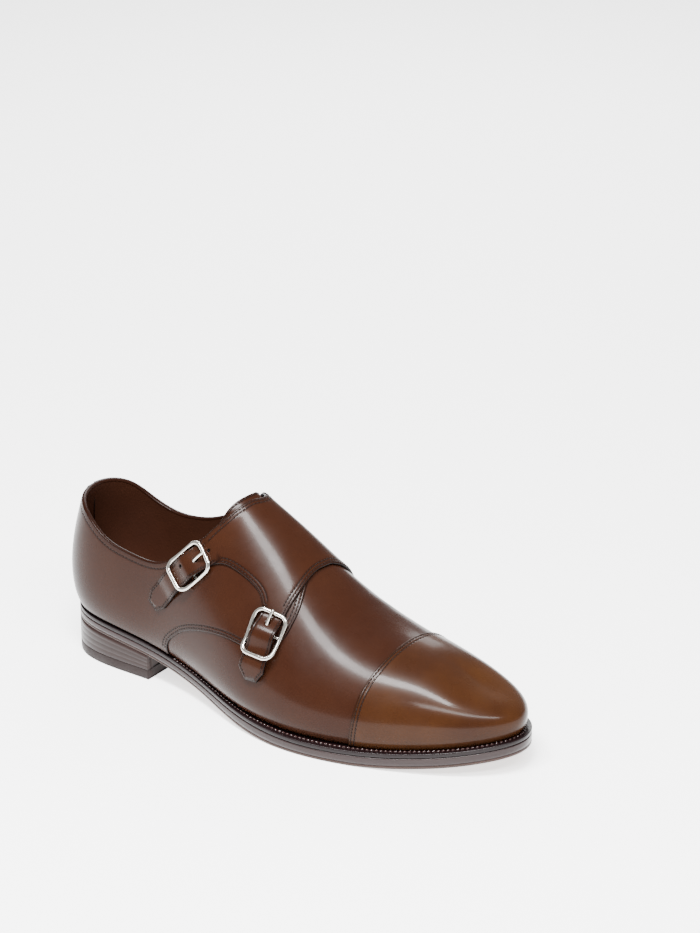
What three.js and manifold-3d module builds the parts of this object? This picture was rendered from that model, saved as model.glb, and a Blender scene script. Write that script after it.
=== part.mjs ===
// A men's double monk strap shoe for the right foot, in millimetres, +Z up.
// Toe towards +X, lateral (outer) side towards -Y. It stands empty on its heel and forefoot.
//
// Every soft piece is cut from one surface, the last. u runs once round the feather line (the
// edge where upper meets sole): heel back, lateral side, toe, medial side. v climbs from the
// feather line (0) over the widest bulge (0.2) to the ridge of the instep (1).
import * as THREE from "three";
import { mergeVertices } from "three/addons/utils/BufferGeometryUtils.js";
import Module from "manifold-3d";

const wasm = await Module();
wasm.setup();

// ---------------------------------------------------------------- named sizes
const GAP = 0.3; // between neighbouring pieces
const WALL = 2.2; // upper leather and lining together
const CAP = 1.0; // toe cap leather
const FLAP = 1.8; // flap and straps, lined
const TONGUE = 1.5;
const TONGUE_GAP = 2.3; // between tongue and vamp lining
const WELT = 2.7;
const OUTSOLE_FORE = 6.4;
const OUTSOLE_REAR = 4.6;
const TOP_PIECE = 6.0;
const INSOLE_RISE = 1.6; // top of the insole above the feather line
const BREAST = 69; // heel breast
const STRAP_TIP_HALF = 4.0;
const STRAP_TIP_LENGTH = 6; // the part cut to a blunt point
const BUCKLE_HALF_LENGTH = 12.2; // along the strap, to the middle of the wire
const BUCKLE_HALF_WIDTH = 9.3;
const BUCKLE_CORNER = 4.6;
const BUCKLE_RISE_TOP = 1.5; // how far the frame's ends rise above the bar
const BUCKLE_RISE_FOOT = 3;
const WIRE = 1.15; // radius of the frame's wire
const BAR = 1.0; // radius of the centre bar
const BAR_HEIGHT = 2.6; // its axis above the upper
const STRAP_HUMP = 4.8; // how far the strap rises over the bar
const HUMP_LENGTH = 5.2;
const TAIL_LIFT = 1.9; // and over the buckle tab's tail
const TAB_TAIL = -17; // the tab's sewn end, along the strap
const TAB_HALF = 6.6;
const TAB_LOOP = 2.25; // outer radius of the loop round the bar
const TAB_TOP = 1.7; // top of the tail above the upper
const TAB_SLOT = 1.4; // half the slot that the prong's eye turns in
const PRONG_RADIUS = 0.85;
const PRONG_HOLE = 1.3; // radius of the strap's hole
const EYE_RADIUS = 2.1; // outside of the prong's eye
const EYE_HALF = 1.0;
const BAR_CLEARANCE = 0.25; // round the bar, in the eye and in the tab's loop
const MERGE = 1e-3; // vertices closer than this are one

// ---------------------------------------------------------------- tables
// One row per section round the last. x y: feather line in plan. out, up: from the feather line
// to the bulge. wall, crown: fullness of the side and of the top. ridge: x of the point on the
// ridge that the section climbs to. welt: how far the sole stands out from the feather line.
const RING = [
  ["heel_back", 5, 1, 5, 24, 0.28, 0.5, 42, 2],
  ["heel_corner_lateral", 15, -21, 5, 24, 0.36, 0.5, 46, 2],
  ["heel_side_lateral", 42, -29, 4.5, 24, 0.46, 0.52, 60, 2],
  ["breast_lateral", 75, -30, 4.5, 22, 0.52, 0.5, 84, 2],
  ["waist_lateral", 110, -36, 6, 20, 0.48, 0.45, 114, 2.5],
  ["shank_lateral", 148, -47, 6, 17, 0.45, 0.45, 150, 4],
  ["joint_lateral", 188, -50, 4.5, 13, 0.43, 0.5, 186, 6],
  ["fore_lateral", 222, -43.5, 3.5, 11, 0.48, 0.53, 216, 6.5],
  ["toe_side_lateral", 256, -31.5, 3, 10, 0.53, 0.56, 243, 6.5],
  ["toe_corner_lateral", 286, -14, 3, 9, 0.53, 0.56, 258, 6.5],
  ["toe_tip", 297, 4, 3, 9, 0.53, 0.53, 263, 6.5],
  ["toe_corner_medial", 288, 20, 3, 9, 0.53, 0.56, 258, 6.5],
  ["toe_side_medial", 261, 32, 3, 10, 0.53, 0.56, 243, 6.5],
  ["fore_medial", 226, 40, 4, 13, 0.48, 0.53, 214, 6],
  ["joint_medial", 190, 38, 5, 16, 0.43, 0.48, 182, 5],
  ["shank_medial", 150, 26, 8, 22, 0.4, 0.45, 146, 2],
  ["waist_medial", 112, 21, 9, 26, 0.45, 0.45, 112, 1.5],
  ["breast_medial", 75, 25, 6, 24, 0.52, 0.5, 82, 1.8],
  ["heel_side_medial", 42, 28, 4.5, 24, 0.46, 0.52, 60, 2],
  ["heel_corner_medial", 15, 21, 5, 24, 0.36, 0.5, 46, 2],
];
// Ridge of the instep: x, y, z.
const RIDGE = [
  [40, 1, 150],
  [90, 2, 140],
  [118, 3, 122],
  [150, 4, 103],
  [185, 4, 77.5],
  [225, 3, 59],
  [250, 3.5, 53],
  [270, 4, 43],
];
// Height of the feather line: x, z.
const FEATHER = [
  [-6, 29.6],
  [15, 28.6],
  [45, 26.2],
  [75, 22],
  [110, 16.2],
  [148, 11.2],
  [180, 9.2],
  [200, 9],
  [220, 9.3],
  [240, 10.5],
  [262, 13.2],
  [285, 17],
  [304, 20.5],
];
// Edge of the opening: ridge station, v on the lateral side, v on the medial side.
const OPENING = [
  [42, 0.5, 0.5],
  [46, 0.468, 0.455],
  [51.5, 0.425, 0.39],
  [57, 0.388, 0.355],
  [68, 0.362, 0.35],
  [80, 0.365, 0.387],
  [91.5, 0.405, 0.45],
  [100, 0.475, 0.5],
  [108, 0.56, 0.545],
  [114, 0.625, 0.575],
  [124, 0.69, 0.64],
  [136, 0.755, 0.72],
  [146, 0.85, 0.84],
  [152, 1, 1],
];
// Seam of the toe cap: v, ridge station.
const CAP_SEAM = [
  [0, 213],
  [0.29, 215.4],
  [0.44, 216.5],
  [0.585, 218.7],
  [0.75, 222.4],
  [1, 228.5],
];
// Straps. line: the middle as ridge station and t (t is v counted from the ridge, lateral
// negative). bar: distance of the centre bar, end: of the strap's tip, both from the first point.
// half: half the width at distances along the strap from the bar, towards the flap positive.
const STRAPS = {
  rear: {
    bar: 24.5,
    end: 65,
    line: [
      [124, -0.345],
      [116.5, -0.431],
      [107, -0.5435],
      [100.5, -0.6135],
      [94, -0.68],
      [86.5, -0.755],
      [80, -0.82],
    ],
    half: [[-34, 6.9], [-12, 7.1], [0, 7.3], [16, 7.8]],
  },
  front: {
    bar: 28.5,
    end: 55.5,
    line: [
      [165.5, -0.27],
      [164, -0.37],
      [163.3, -0.46],
      [163, -0.546],
      [162.2, -0.62],
      [161.8, -0.68],
      [162, -0.76],
    ],
    half: [[-22, 8.4], [-12, 7.5], [0, 7.0], [18, 6.7]],
  },
};
// Outline of the flap without its straps, as ridge station and t.
const FLAP_FRONT = [
  [169, -0.37],
  [169.5, -0.3],
  [169.8, -0.22],
  [170, -0.1],
  [171.5, 0],
  [172, 0.12],
  [170.5, 0.28],
  [167, 0.45],
  [162, 0.6],
  [157.5, 0.7],
  [154.5, 0.745],
];
const FLAP_LOWER = [
  [146, 0.74],
  [134, 0.735],
  [122, 0.745],
  [112, 0.765],
];
const FLAP_TOP = [
  [88, 0.575],
  [92.5, 0.53],
  [103, 0.435],
  [112, 0.315],
  [120, 0.17],
  [125, 0.07],
  [126.5, 0],
  [125.3, -0.06],
  [121.8, -0.18],
  [117.1, -0.3],
];
const FLAP_ARCH = [
  [120.5, -0.445],
  [126.5, -0.415],
  [136, -0.39],
  [146.6, -0.38],
  [154.3, -0.39],
  [157.3, -0.405],
];
// Top edge of the tongue: t, ridge station.
const TONGUE_TOP = [
  [-0.46, 112],
  [-0.29, 115.5],
  [-0.15, 118.5],
  [0, 121.5],
  [0.15, 118.5],
  [0.29, 113],
  [0.46, 106],
];
const TONGUE_FOOT = 166;
const TONGUE_SIDE = 0.46;
const CAP_FOOT = 0.055; // v where the toe cap's lower edge clears the welt

// ---------------------------------------------------------------- curves
// Natural cubic spline through rows of numbers; at(x) gives the row, at(x, 1) its slope.
function spline(knots, rows) {
  const n = knots.length;
  const width = rows[0].length;
  const second = rows.map(() => new Array(width).fill(0));
  for (let c = 0; c < width; c++) {
    const upper = new Array(n).fill(0);
    const right = new Array(n).fill(0);
    for (let i = 1; i < n - 1; i++) {
      const before = knots[i] - knots[i - 1];
      const after = knots[i + 1] - knots[i];
      const rise = (rows[i + 1][c] - rows[i][c]) / after;
      const fall = (rows[i][c] - rows[i - 1][c]) / before;
      const pivot = 2 * (before + after) - before * upper[i - 1];
      upper[i] = after / pivot;
      right[i] = (6 * (rise - fall) - before * right[i - 1]) / pivot;
    }
    for (let i = n - 2; i > 0; i--) second[i][c] = right[i] - upper[i] * second[i + 1][c];
  }
  return (x, slope = 0) => {
    let i = 0;
    while (i < n - 2 && x > knots[i + 1]) i++;
    const h = knots[i + 1] - knots[i];
    const a = (knots[i + 1] - x) / h;
    const b = (x - knots[i]) / h;
    return rows[i].map((low, c) => {
      const high = rows[i + 1][c];
      const bendLow = second[i][c];
      const bendHigh = second[i + 1][c];
      if (slope) {
        const bend = ((3 * b * b - 1) * bendHigh - (3 * a * a - 1) * bendLow) * (h / 6);
        return (high - low) / h + bend;
      }
      return a * low + b * high + (((a * a * a - a) * bendLow + (b * b * b - b) * bendHigh) * h * h) / 6;
    });
  };
}
const column = (table, key, ...values) =>
  spline(
    table.map((row) => row[key]),
    table.map((row) => values.map((v) => row[v])),
  );
// Straight-line reading of a short table, for edges that keep their corners.
function between(table, x, value = 1) {
  if (x <= table[0][0]) return table[0][value];
  for (let i = 1; i < table.length; i++)
    if (x <= table[i][0]) {
      const k = (x - table[i - 1][0]) / (table[i][0] - table[i - 1][0]);
      return table[i - 1][value] * (1 - k) + table[i][value] * k;
    }
  return table[table.length - 1][value];
}

// ---------------------------------------------------------------- the last
const WRAP = 6;
const rows = RING.map((row) => row.slice(1));
const steps = rows.map((row, i) => {
  const next = rows[(i + 1) % rows.length];
  return Math.hypot(next[0] - row[0], next[1] - row[1]);
});
const girth = steps.reduce((a, b) => a + b, 0);
const marks = [];
rows.reduce((sum, _, i) => {
  marks.push(sum / girth);
  return sum + steps[i];
}, 0);
const TIP = marks[RING.findIndex((row) => row[0] === "toe_tip")];
const count = rows.length;
const wrapped = [];
for (let i = -WRAP; i <= count + WRAP; i++) {
  const turn = Math.floor(i / count);
  wrapped.push([marks[i - turn * count] + turn, rows[i - turn * count]]);
}
const ring = spline(
  wrapped.map((w) => w[0]),
  wrapped.map((w) => w[1]),
);
const ridge = column(RIDGE, 0, 1, 2);
const feather = column(FEATHER, 0, 1);
const featherZ = (x) => feather(x)[0];
const vec = (x, y, z) => new THREE.Vector3(x, y, z);

function outward(u) {
  const [dx, dy] = ring(u, 1);
  const size = Math.hypot(dx, dy);
  return [dy / size, -dx / size];
}
// Point of the feather line moved outwards (or inwards) in plan.
function rim(u, margin) {
  const row = ring(u);
  const [nx, ny] = outward(u);
  return [row[0] + nx * margin, row[1] + ny * margin];
}
function last(u, v) {
  const [x, y, out, up, wall, crown, station] = ring(u);
  const [nx, ny] = outward(u);
  const foot = vec(x, y, featherZ(x) + GAP);
  const bulge = vec(x + nx * out, y + ny * out, foot.z + up);
  if (v < 0.2) {
    const w = v / 0.2;
    const turn = vec(bulge.x, bulge.y, foot.z + 0.35 * up);
    return foot
      .multiplyScalar((1 - w) ** 2)
      .addScaledVector(turn, 2 * w * (1 - w))
      .addScaledVector(bulge, w * w);
  }
  const w = (v - 0.2) / 0.8;
  const [ry, rz] = ridge(station);
  const slope = ridge(station, 1)[1];
  const top = vec(station, ry, rz);
  const side = vec(bulge.x, bulge.y, bulge.z + wall * (rz - bulge.z));
  const hx = station - bulge.x;
  const hy = ry - bulge.y;
  const shoulder = vec(station - crown * hx, ry - crown * hy, rz - crown * slope * hx);
  return bulge
    .multiplyScalar((1 - w) ** 3)
    .addScaledVector(side, 3 * w * (1 - w) ** 2)
    .addScaledVector(shoulder, 3 * w * w * (1 - w))
    .addScaledVector(top, w ** 3);
}
function lastNormal(u, v) {
  if (v > 0.9999) return vec(-ridge(ring(u)[6], 1)[1], 0, 1).normalize();
  const h = 2e-4;
  const along = last(u + h, v).sub(last(u - h, v));
  const rise = last(u, Math.min(v + h, 1)).sub(last(u, Math.max(v - h, 0)));
  return along.cross(rise).normalize();
}
// u on one side of the last for a station of the ridge.
function stationU(side, station) {
  let low = side < 0 ? 0 : 1;
  let high = TIP;
  for (let i = 0; i < 40; i++) {
    const middle = (low + high) / 2;
    if (ring(middle)[6] < station) low = middle;
    else high = middle;
  }
  return (low + high) / 2;
}
// Point and normal at a ridge station and t: -1 lateral feather, 0 ridge, 1 medial feather.
function chart(station, t) {
  const u = stationU(t < 0 ? -1 : 1, station);
  const v = 1 - Math.abs(t);
  return { p: last(u, v), n: lastNormal(u, v) };
}

// ---------------------------------------------------------------- solids
class Skin {
  constructor() {
    this.points = [];
    this.faces = [];
  }
  add(p) {
    this.points.push(p.x, p.y, p.z);
    return this.points.length / 3 - 1;
  }
  quad(a, b, c, d, flip = false) {
    if (flip) this.faces.push(a, c, b, a, d, c);
    else this.faces.push(a, b, c, a, c, d);
  }
  geometry() {
    let g = new THREE.BufferGeometry();
    g.setAttribute("position", new THREE.Float32BufferAttribute(this.points, 3));
    g.setIndex(this.faces);
    g = mergeVertices(g, MERGE);
    const index = g.index.array;
    const kept = [];
    for (let i = 0; i < index.length; i += 3) {
      const [a, b, c] = index.slice(i, i + 3);
      if (a !== b && b !== c && a !== c) kept.push(a, b, c);
    }
    g.setIndex(kept);
    return g;
  }
}
function toManifold(geometry) {
  const bare = new THREE.BufferGeometry();
  bare.setAttribute("position", geometry.getAttribute("position"));
  bare.setIndex(geometry.index);
  const merged = mergeVertices(bare, MERGE);
  const mesh = new wasm.Mesh({
    numProp: 3,
    vertProperties: new Float32Array(merged.attributes.position.array),
    triVerts: new Uint32Array(merged.index.array),
  });
  return new wasm.Manifold(mesh);
}
function fromManifold(solid) {
  const mesh = solid.getMesh();
  const g = new THREE.BufferGeometry();
  g.setAttribute("position", new THREE.BufferAttribute(new Float32Array(mesh.vertProperties), 3));
  g.setIndex(Array.from(mesh.triVerts));
  return g;
}
// Two skins, outer[i][j] and inner[i][j], closed into a plate by walls round the whole edge.
function plate(skin, outer, inner, flip) {
  const rowsIn = outer.length;
  const cols = outer[0].length;
  const o = outer.map((row) => row.map((p) => skin.add(p)));
  const q = inner.map((row) => row.map((p) => skin.add(p)));
  for (let i = 0; i < rowsIn - 1; i++)
    for (let j = 0; j < cols - 1; j++) {
      skin.quad(o[i][j], o[i + 1][j], o[i + 1][j + 1], o[i][j + 1], flip);
      skin.quad(q[i][j], q[i][j + 1], q[i + 1][j + 1], q[i + 1][j], flip);
    }
  return { o, q };
}
function wallAlong(skin, upperRow, lowerRow, flip) {
  for (let i = 0; i < upperRow.length - 1; i++)
    skin.quad(upperRow[i], lowerRow[i], lowerRow[i + 1], upperRow[i + 1], flip);
}

// Upper: one hollow shell, open at collar and throat and underneath.
function makeUpper() {
  const skin = new Skin();
  const ribs = 36;
  const cols = 10;
  const opening = column(OPENING, 0, 1, 2);
  const stations = [];
  for (let i = 0; i <= ribs; i++) stations.push({ u: (TIP * i) / ribs });
  stations.forEach((s) => (s.ridge = ring(s.u)[6]));
  const throat = OPENING[OPENING.length - 1][0];
  const throatU = stationU(-1, throat);
  const nearest = stations.reduce((a, b) => (Math.abs(b.u - throatU) < Math.abs(a.u - throatU) ? b : a));
  nearest.u = throatU;
  nearest.ridge = throat;
  for (const side of [-1, 1]) {
    const outer = [];
    const inner = [];
    stations.forEach((s, i) => {
      let u = side < 0 ? s.u : stationU(1, s.ridge);
      if (i === 0) u = 0;
      if (i === ribs) u = TIP;
      const top = s.ridge > throat - 0.01 ? 1 : Math.min(1, opening(s.ridge)[side < 0 ? 0 : 1]);
      const outerRow = [];
      const innerRow = [];
      for (let j = 0; j <= cols; j++) {
        const v = top * (j / cols);
        const p = last(u, v);
        outerRow.push(p);
        innerRow.push(p.clone().addScaledVector(lastNormal(u, v), -WALL));
      }
      outer.push(outerRow);
      inner.push(innerRow);
    });
    const { o, q } = plate(skin, outer, inner, side > 0);
    wallAlong(skin, o.map((r) => r[0]), q.map((r) => r[0]), side > 0);
    const open = stations.filter((s) => s.ridge < throat + 0.01).length;
    wallAlong(skin, q.slice(0, open).map((r) => r[cols]), o.slice(0, open).map((r) => r[cols]), side > 0);
  }
  return skin.geometry();
}

// Toe cap: leather laid over the toe, in front of its seam.
function makeCap() {
  const skin = new Skin();
  const along = 12;
  const cols = 11;
  for (const side of [-1, 1]) {
    const outer = [];
    const inner = [];
    for (let i = 0; i <= along; i++) {
      const outerRow = [];
      const innerRow = [];
      for (let j = 0; j <= cols; j++) {
        const v = CAP_FOOT + (1 - CAP_FOOT) * (j / cols);
        const start = stationU(-1, between(CAP_SEAM, v));
        const lateral = start + (TIP - start) * (i / along);
        let u = side < 0 ? lateral : stationU(1, ring(lateral)[6]);
        if (i === along) u = TIP;
        const p = last(u, v);
        const n = lastNormal(u, v);
        outerRow.push(p.clone().addScaledVector(n, GAP + CAP));
        innerRow.push(p.clone().addScaledVector(n, 1.6 * GAP));
      }
      outer.push(outerRow);
      inner.push(innerRow);
    }
    const { o, q } = plate(skin, outer, inner, side > 0);
    wallAlong(skin, o.map((r) => r[0]), q.map((r) => r[0]), side > 0);
    wallAlong(skin, q[0], o[0], side > 0);
  }
  return skin.geometry();
}

// Tongue: a sheet under the flap, sewn in under the vamp.
function makeTongue() {
  const skin = new Skin();
  const along = 10;
  const across = 12;
  const outer = [];
  const inner = [];
  for (let i = 0; i <= along; i++) {
    const outerRow = [];
    const innerRow = [];
    for (let j = 0; j <= across; j++) {
      const t = TONGUE_SIDE * (1 - (2 * j) / across);
      const top = between(TONGUE_TOP, t);
      const { p, n } = chart(top + (TONGUE_FOOT - top) * (i / along), t);
      outerRow.push(p.clone().addScaledVector(n, -WALL - TONGUE_GAP));
      innerRow.push(p.clone().addScaledVector(n, -WALL - TONGUE_GAP - TONGUE));
    }
    outer.push(outerRow);
    inner.push(innerRow);
  }
  const { o, q } = plate(skin, outer, inner, true);
  const around = (grid) => [
    ...grid[0],
    ...grid.slice(1).map((row) => row[across]),
    ...grid[along].slice(0, across).reverse(),
    ...grid.slice(0, along).map((row) => row[0]).reverse(),
  ];
  wallAlong(skin, around(o), around(q));
  return skin.geometry();
}

// ---------------------------------------------------------------- straps
// Strap coordinates: a along the strap from its centre bar towards the flap, w across it
// (towards the toe), h above the upper. spot() finds the chart point for a and w.
function prepareStrap(strap) {
  const path = spline(
    strap.line.map((_, i) => i),
    strap.line,
  );
  const table = [[0, 0]];
  let before = chart(...path(0)).p;
  const fine = 40 * (strap.line.length - 1);
  for (let i = 1; i <= fine; i++) {
    const k = i / 40;
    const here = chart(...path(k)).p;
    table.push([table[i - 1][0] + here.distanceTo(before), k]);
    before = here;
  }
  strap.middle = (a) => path(between(table, strap.bar - a));
  strap.spot = (a, w) => {
    const [station, t] = strap.middle(a);
    const centre = chart(station, t);
    const ahead = chart(...strap.middle(a + 0.5)).p;
    const axis = ahead.sub(centre.p);
    axis.addScaledVector(centre.n, -axis.dot(centre.n)).normalize();
    const across = centre.n.clone().cross(axis).negate();
    const spot = { station, t, ...centre };
    const ds = 0.5;
    const dt = 0.004;
    for (let i = 0; i < 4; i++) {
      const byS = chart(spot.station + ds, spot.t).p.sub(spot.p).divideScalar(ds);
      const byT = chart(spot.station, spot.t + dt).p.sub(spot.p).divideScalar(dt);
      const miss = centre.p.clone().addScaledVector(across, w).sub(spot.p);
      const [sa, sw, ta, tw] = [byS.dot(axis), byS.dot(across), byT.dot(axis), byT.dot(across)];
      const [ma, mw] = [miss.dot(axis), miss.dot(across)];
      const det = sa * tw - ta * sw;
      spot.station += (ma * tw - mw * ta) / det;
      spot.t += (sa * mw - sw * ma) / det;
      Object.assign(spot, chart(spot.station, spot.t));
    }
    return { ...spot, axis, across };
  };
  strap.place = (a, w, h) => {
    const { p, n } = strap.spot(a, w);
    return p.clone().addScaledVector(n, h);
  };
  const centre = strap.spot(0, 0);
  strap.centre = centre;
  // How far the strap is lifted: over the bar, and on the tab's tail beyond it.
  strap.hump = (p) => {
    const from = p.clone().sub(centre.p);
    if (from.length() > 26 || Math.abs(from.dot(centre.across)) > 10) return 0;
    const a = from.dot(centre.axis);
    const bar = STRAP_HUMP * Math.exp(-((a / HUMP_LENGTH) ** 2));
    const onTail = THREE.MathUtils.smoothstep(a, TAB_TAIL - 6, TAB_TAIL - 2);
    const tail = TAIL_LIFT * onTail * (1 - THREE.MathUtils.smoothstep(a, -2, 5));
    return Math.hypot(bar, tail);
  };
}
Object.values(STRAPS).forEach(prepareStrap);

// One edge of a strap as chart points, from the root to the tip.
function strapEdge(strap, side, root) {
  const from = strap.bar - root;
  const to = strap.bar - strap.end;
  const edge = [];
  const steps = 12;
  for (let i = 0; i <= steps; i++) {
    const a = from + (to + STRAP_TIP_LENGTH - from) * (i / steps);
    const { station, t } = strap.spot(a, side * between(strap.half, a));
    edge.push([station, t]);
  }
  const { station, t } = strap.spot(to, side * STRAP_TIP_HALF);
  edge.push([station, t]);
  return edge;
}

const edgeKey = (a, b) => Math.min(a, b) + "_" + Math.max(a, b);
// A triangle cut at the middles of its long edges (-1 where an edge stays whole).
function divided(a, b, c, ab, bc, ca) {
  const cuts = [ab, bc, ca].filter((m) => m >= 0).length;
  if (cuts === 0) return [[a, b, c]];
  if (cuts === 3) return [[a, ab, ca], [ab, b, bc], [ca, bc, c], [ab, bc, ca]];
  let [p, q, r, pq, qr, rp] = [a, b, c, ab, bc, ca];
  while (pq < 0 || (cuts === 2 && qr < 0)) [p, q, r, pq, qr, rp] = [q, r, p, qr, rp, pq];
  if (cuts === 1) return [[p, pq, r], [pq, q, r]];
  return [[pq, q, qr], [p, pq, qr], [p, qr, r]];
}
// Edges swapped until every pair of triangles is as even as it can be.
function swapped(faces, border, flat) {
  const angle = (i, j, k) => {
    const [a, b, c] = [flat(i), flat(j), flat(k)];
    const [x1, y1, x2, y2] = [a[0] - c[0], a[1] - c[1], b[0] - c[0], b[1] - c[1]];
    return Math.atan2(Math.abs(x1 * y2 - x2 * y1), x1 * x2 + y1 * y2);
  };
  const turn = (i, j, k) => {
    const [a, b, c] = [flat(i), flat(j), flat(k)];
    return (b[0] - a[0]) * (c[1] - a[1]) - (b[1] - a[1]) * (c[0] - a[0]);
  };
  for (let sweep = 0; sweep < 12; sweep++) {
    const owners = new Map();
    faces.forEach((f, index) =>
      f.forEach((v, k) => {
        const key = edgeKey(v, f[(k + 1) % 3]);
        owners.set(key, [...(owners.get(key) || []), [index, k]]);
      }),
    );
    const touched = new Set();
    for (const [key, pair] of owners) {
      if (pair.length !== 2 || border.has(key)) continue;
      const [[f1, k1], [f2, k2]] = pair;
      if (touched.has(f1) || touched.has(f2)) continue;
      const [a, b, c] = [faces[f1][k1], faces[f1][(k1 + 1) % 3], faces[f1][(k1 + 2) % 3]];
      const d = faces[f2][(k2 + 2) % 3];
      if (owners.has(edgeKey(c, d))) continue;
      if (angle(a, b, c) + angle(a, b, d) < Math.PI + 1e-6) continue;
      if (turn(a, d, c) <= 1e-6 || turn(d, b, c) <= 1e-6) continue;
      faces[f1] = [a, d, c];
      faces[f2] = [d, b, c];
      touched.add(f1).add(f2);
    }
    if (touched.size === 0) break;
  }
  return faces;
}

// A sheet with any outline on the chart: cut into triangles, then refined edge by edge.
function sheet(outline, lower, upper, longest) {
  const T_SCALE = 110; // t into millimetres, for even triangles
  const NEAR_BAR = 12; // finer triangles within this of a centre bar
  const NEAR_STEP = 4;
  const where = new Map();
  const spots = [];
  const spotOf = (s, t) => {
    const key = s.toFixed(5) + "," + t.toFixed(6);
    if (!where.has(key)) {
      const { p, n } = chart(s, t);
      where.set(key, spots.length);
      spots.push({ s, t, p, n });
    }
    return where.get(key);
  };
  const dense = [];
  outline.forEach(([s, t], i) => {
    const [s2, t2] = outline[(i + 1) % outline.length];
    const size = chart(s, t).p.distanceTo(chart(s2, t2).p);
    const parts = Math.max(1, Math.ceil(size / longest));
    for (let k = 0; k < parts; k++)
      dense.push([s + ((s2 - s) * k) / parts, t + ((t2 - t) * k) / parts]);
  });
  const flat = dense.map(([s, t]) => new THREE.Vector2(s, t * T_SCALE));
  let faces = THREE.ShapeUtils.triangulateShape(flat, []).map((f) =>
    f.map((i) => spotOf(...dense[i])),
  );
  const border = new Set();
  const ringIds = dense.map(([s, t]) => spotOf(s, t));
  ringIds.forEach((id, i) => {
    const next = ringIds[(i + 1) % ringIds.length];
    border.add(edgeKey(id, next));
  });
  const near = (p) => Object.values(STRAPS).some((strap) => p.distanceTo(strap.centre.p) < NEAR_BAR);
  for (let pass = 0; pass < 7; pass++) {
    const split = (a, b) => {
      if (border.has(edgeKey(a, b))) return -1;
      const limit = near(spots[a].p) || near(spots[b].p) ? NEAR_STEP : longest * 2;
      if (spots[a].p.distanceTo(spots[b].p) < limit) return -1;
      return spotOf((spots[a].s + spots[b].s) / 2, (spots[a].t + spots[b].t) / 2);
    };
    faces = faces.flatMap(([a, b, c]) => divided(a, b, c, split(a, b), split(b, c), split(c, a)));
    faces = swapped(faces, border, (i) => [spots[i].s, spots[i].t * T_SCALE]);
  }
  const skin = new Skin();
  const tops = spots.map(({ p, n }) => skin.add(p.clone().addScaledVector(n, upper(p))));
  const unders = spots.map(({ p, n }) => skin.add(p.clone().addScaledVector(n, lower(p))));
  for (const [a, b, c] of faces) {
    skin.faces.push(tops[a], tops[b], tops[c]);
    skin.faces.push(unders[a], unders[c], unders[b]);
  }
  const loop = [...ringIds, ringIds[0]];
  wallAlong(skin, loop.map((i) => tops[i]), loop.map((i) => unders[i]));
  return skin.geometry();
}

// A rod swept along points, its ends closed, or closed on itself.
function rod(points, radius, sides, closed = false) {
  const skin = new Skin();
  const total = points.length;
  let guide = null;
  const loops = points.map((p, i) => {
    const ahead = points[closed ? (i + 1) % total : Math.min(i + 1, total - 1)];
    const behind = points[closed ? (i + total - 1) % total : Math.max(i - 1, 0)];
    const run = ahead.clone().sub(behind).normalize();
    if (!guide) guide = Math.abs(run.z) < 0.8 ? vec(0, 0, 1) : vec(1, 0, 0);
    const x = guide.clone().cross(run).normalize();
    const y = run.clone().cross(x).normalize();
    guide = y.clone();
    const loop = [];
    for (let k = 0; k < sides; k++) {
      const angle = (2 * Math.PI * k) / sides;
      const at = p.clone().addScaledVector(x, radius * Math.cos(angle));
      loop.push(skin.add(at.addScaledVector(y, radius * Math.sin(angle))));
    }
    return loop;
  });
  const spans = closed ? total : total - 1;
  for (let i = 0; i < spans; i++)
    for (let k = 0; k < sides; k++) {
      const m = (k + 1) % sides;
      const next = loops[(i + 1) % total];
      skin.quad(loops[i][k], loops[i][m], next[m], next[k]);
    }
  if (!closed)
    for (let k = 1; k < sides - 1; k++) {
      skin.faces.push(loops[0][0], loops[0][k + 1], loops[0][k]);
      skin.faces.push(loops[total - 1][0], loops[total - 1][k], loops[total - 1][k + 1]);
    }
  return skin.geometry();
}
// Height of the frame's wire above the upper: low at the bar, over the strap at the ends.
function frameHeight(a) {
  const rise = a < 0 ? BUCKLE_RISE_FOOT : BUCKLE_RISE_TOP;
  return BAR_HEIGHT + rise * (a / BUCKLE_HALF_LENGTH) ** 2;
}

function makeBuckle(strap) {
  const CORNER_STEPS = 4;
  const WIRE_STEP = 3;
  const path = [];
  const straightA = BUCKLE_HALF_LENGTH - BUCKLE_CORNER;
  const straightW = BUCKLE_HALF_WIDTH - BUCKLE_CORNER;
  for (const [sa, sw, start] of [[1, 1, 0], [-1, 1, 1], [-1, -1, 2], [1, -1, 3]]) {
    for (let k = 0; k <= CORNER_STEPS; k++) {
      const angle = (Math.PI / 2) * (start + k / CORNER_STEPS);
      const a = sa * straightA + BUCKLE_CORNER * Math.cos(angle);
      const w = sw * straightW + BUCKLE_CORNER * Math.sin(angle);
      path.push([a, w]);
    }
  }
  const points = [];
  path.forEach(([a, w], i) => {
    const [a2, w2] = path[(i + 1) % path.length];
    const parts = Math.ceil(Math.hypot(a2 - a, w2 - w) / WIRE_STEP);
    for (let k = 0; k < parts; k++) {
      const at = [a + ((a2 - a) * k) / parts, w + ((w2 - w) * k) / parts];
      points.push(strap.place(at[0], at[1], frameHeight(at[0])));
    }
  });
  const frame = toManifold(rod(points, WIRE, 6, true));
  const bar = [];
  for (let k = 0; k <= 4; k++)
    bar.push(strap.place(0, BUCKLE_HALF_WIDTH * (k / 2 - 1), BAR_HEIGHT));
  return fromManifold(frame.add(toManifold(rod(bar, BAR, 6))));
}

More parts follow.
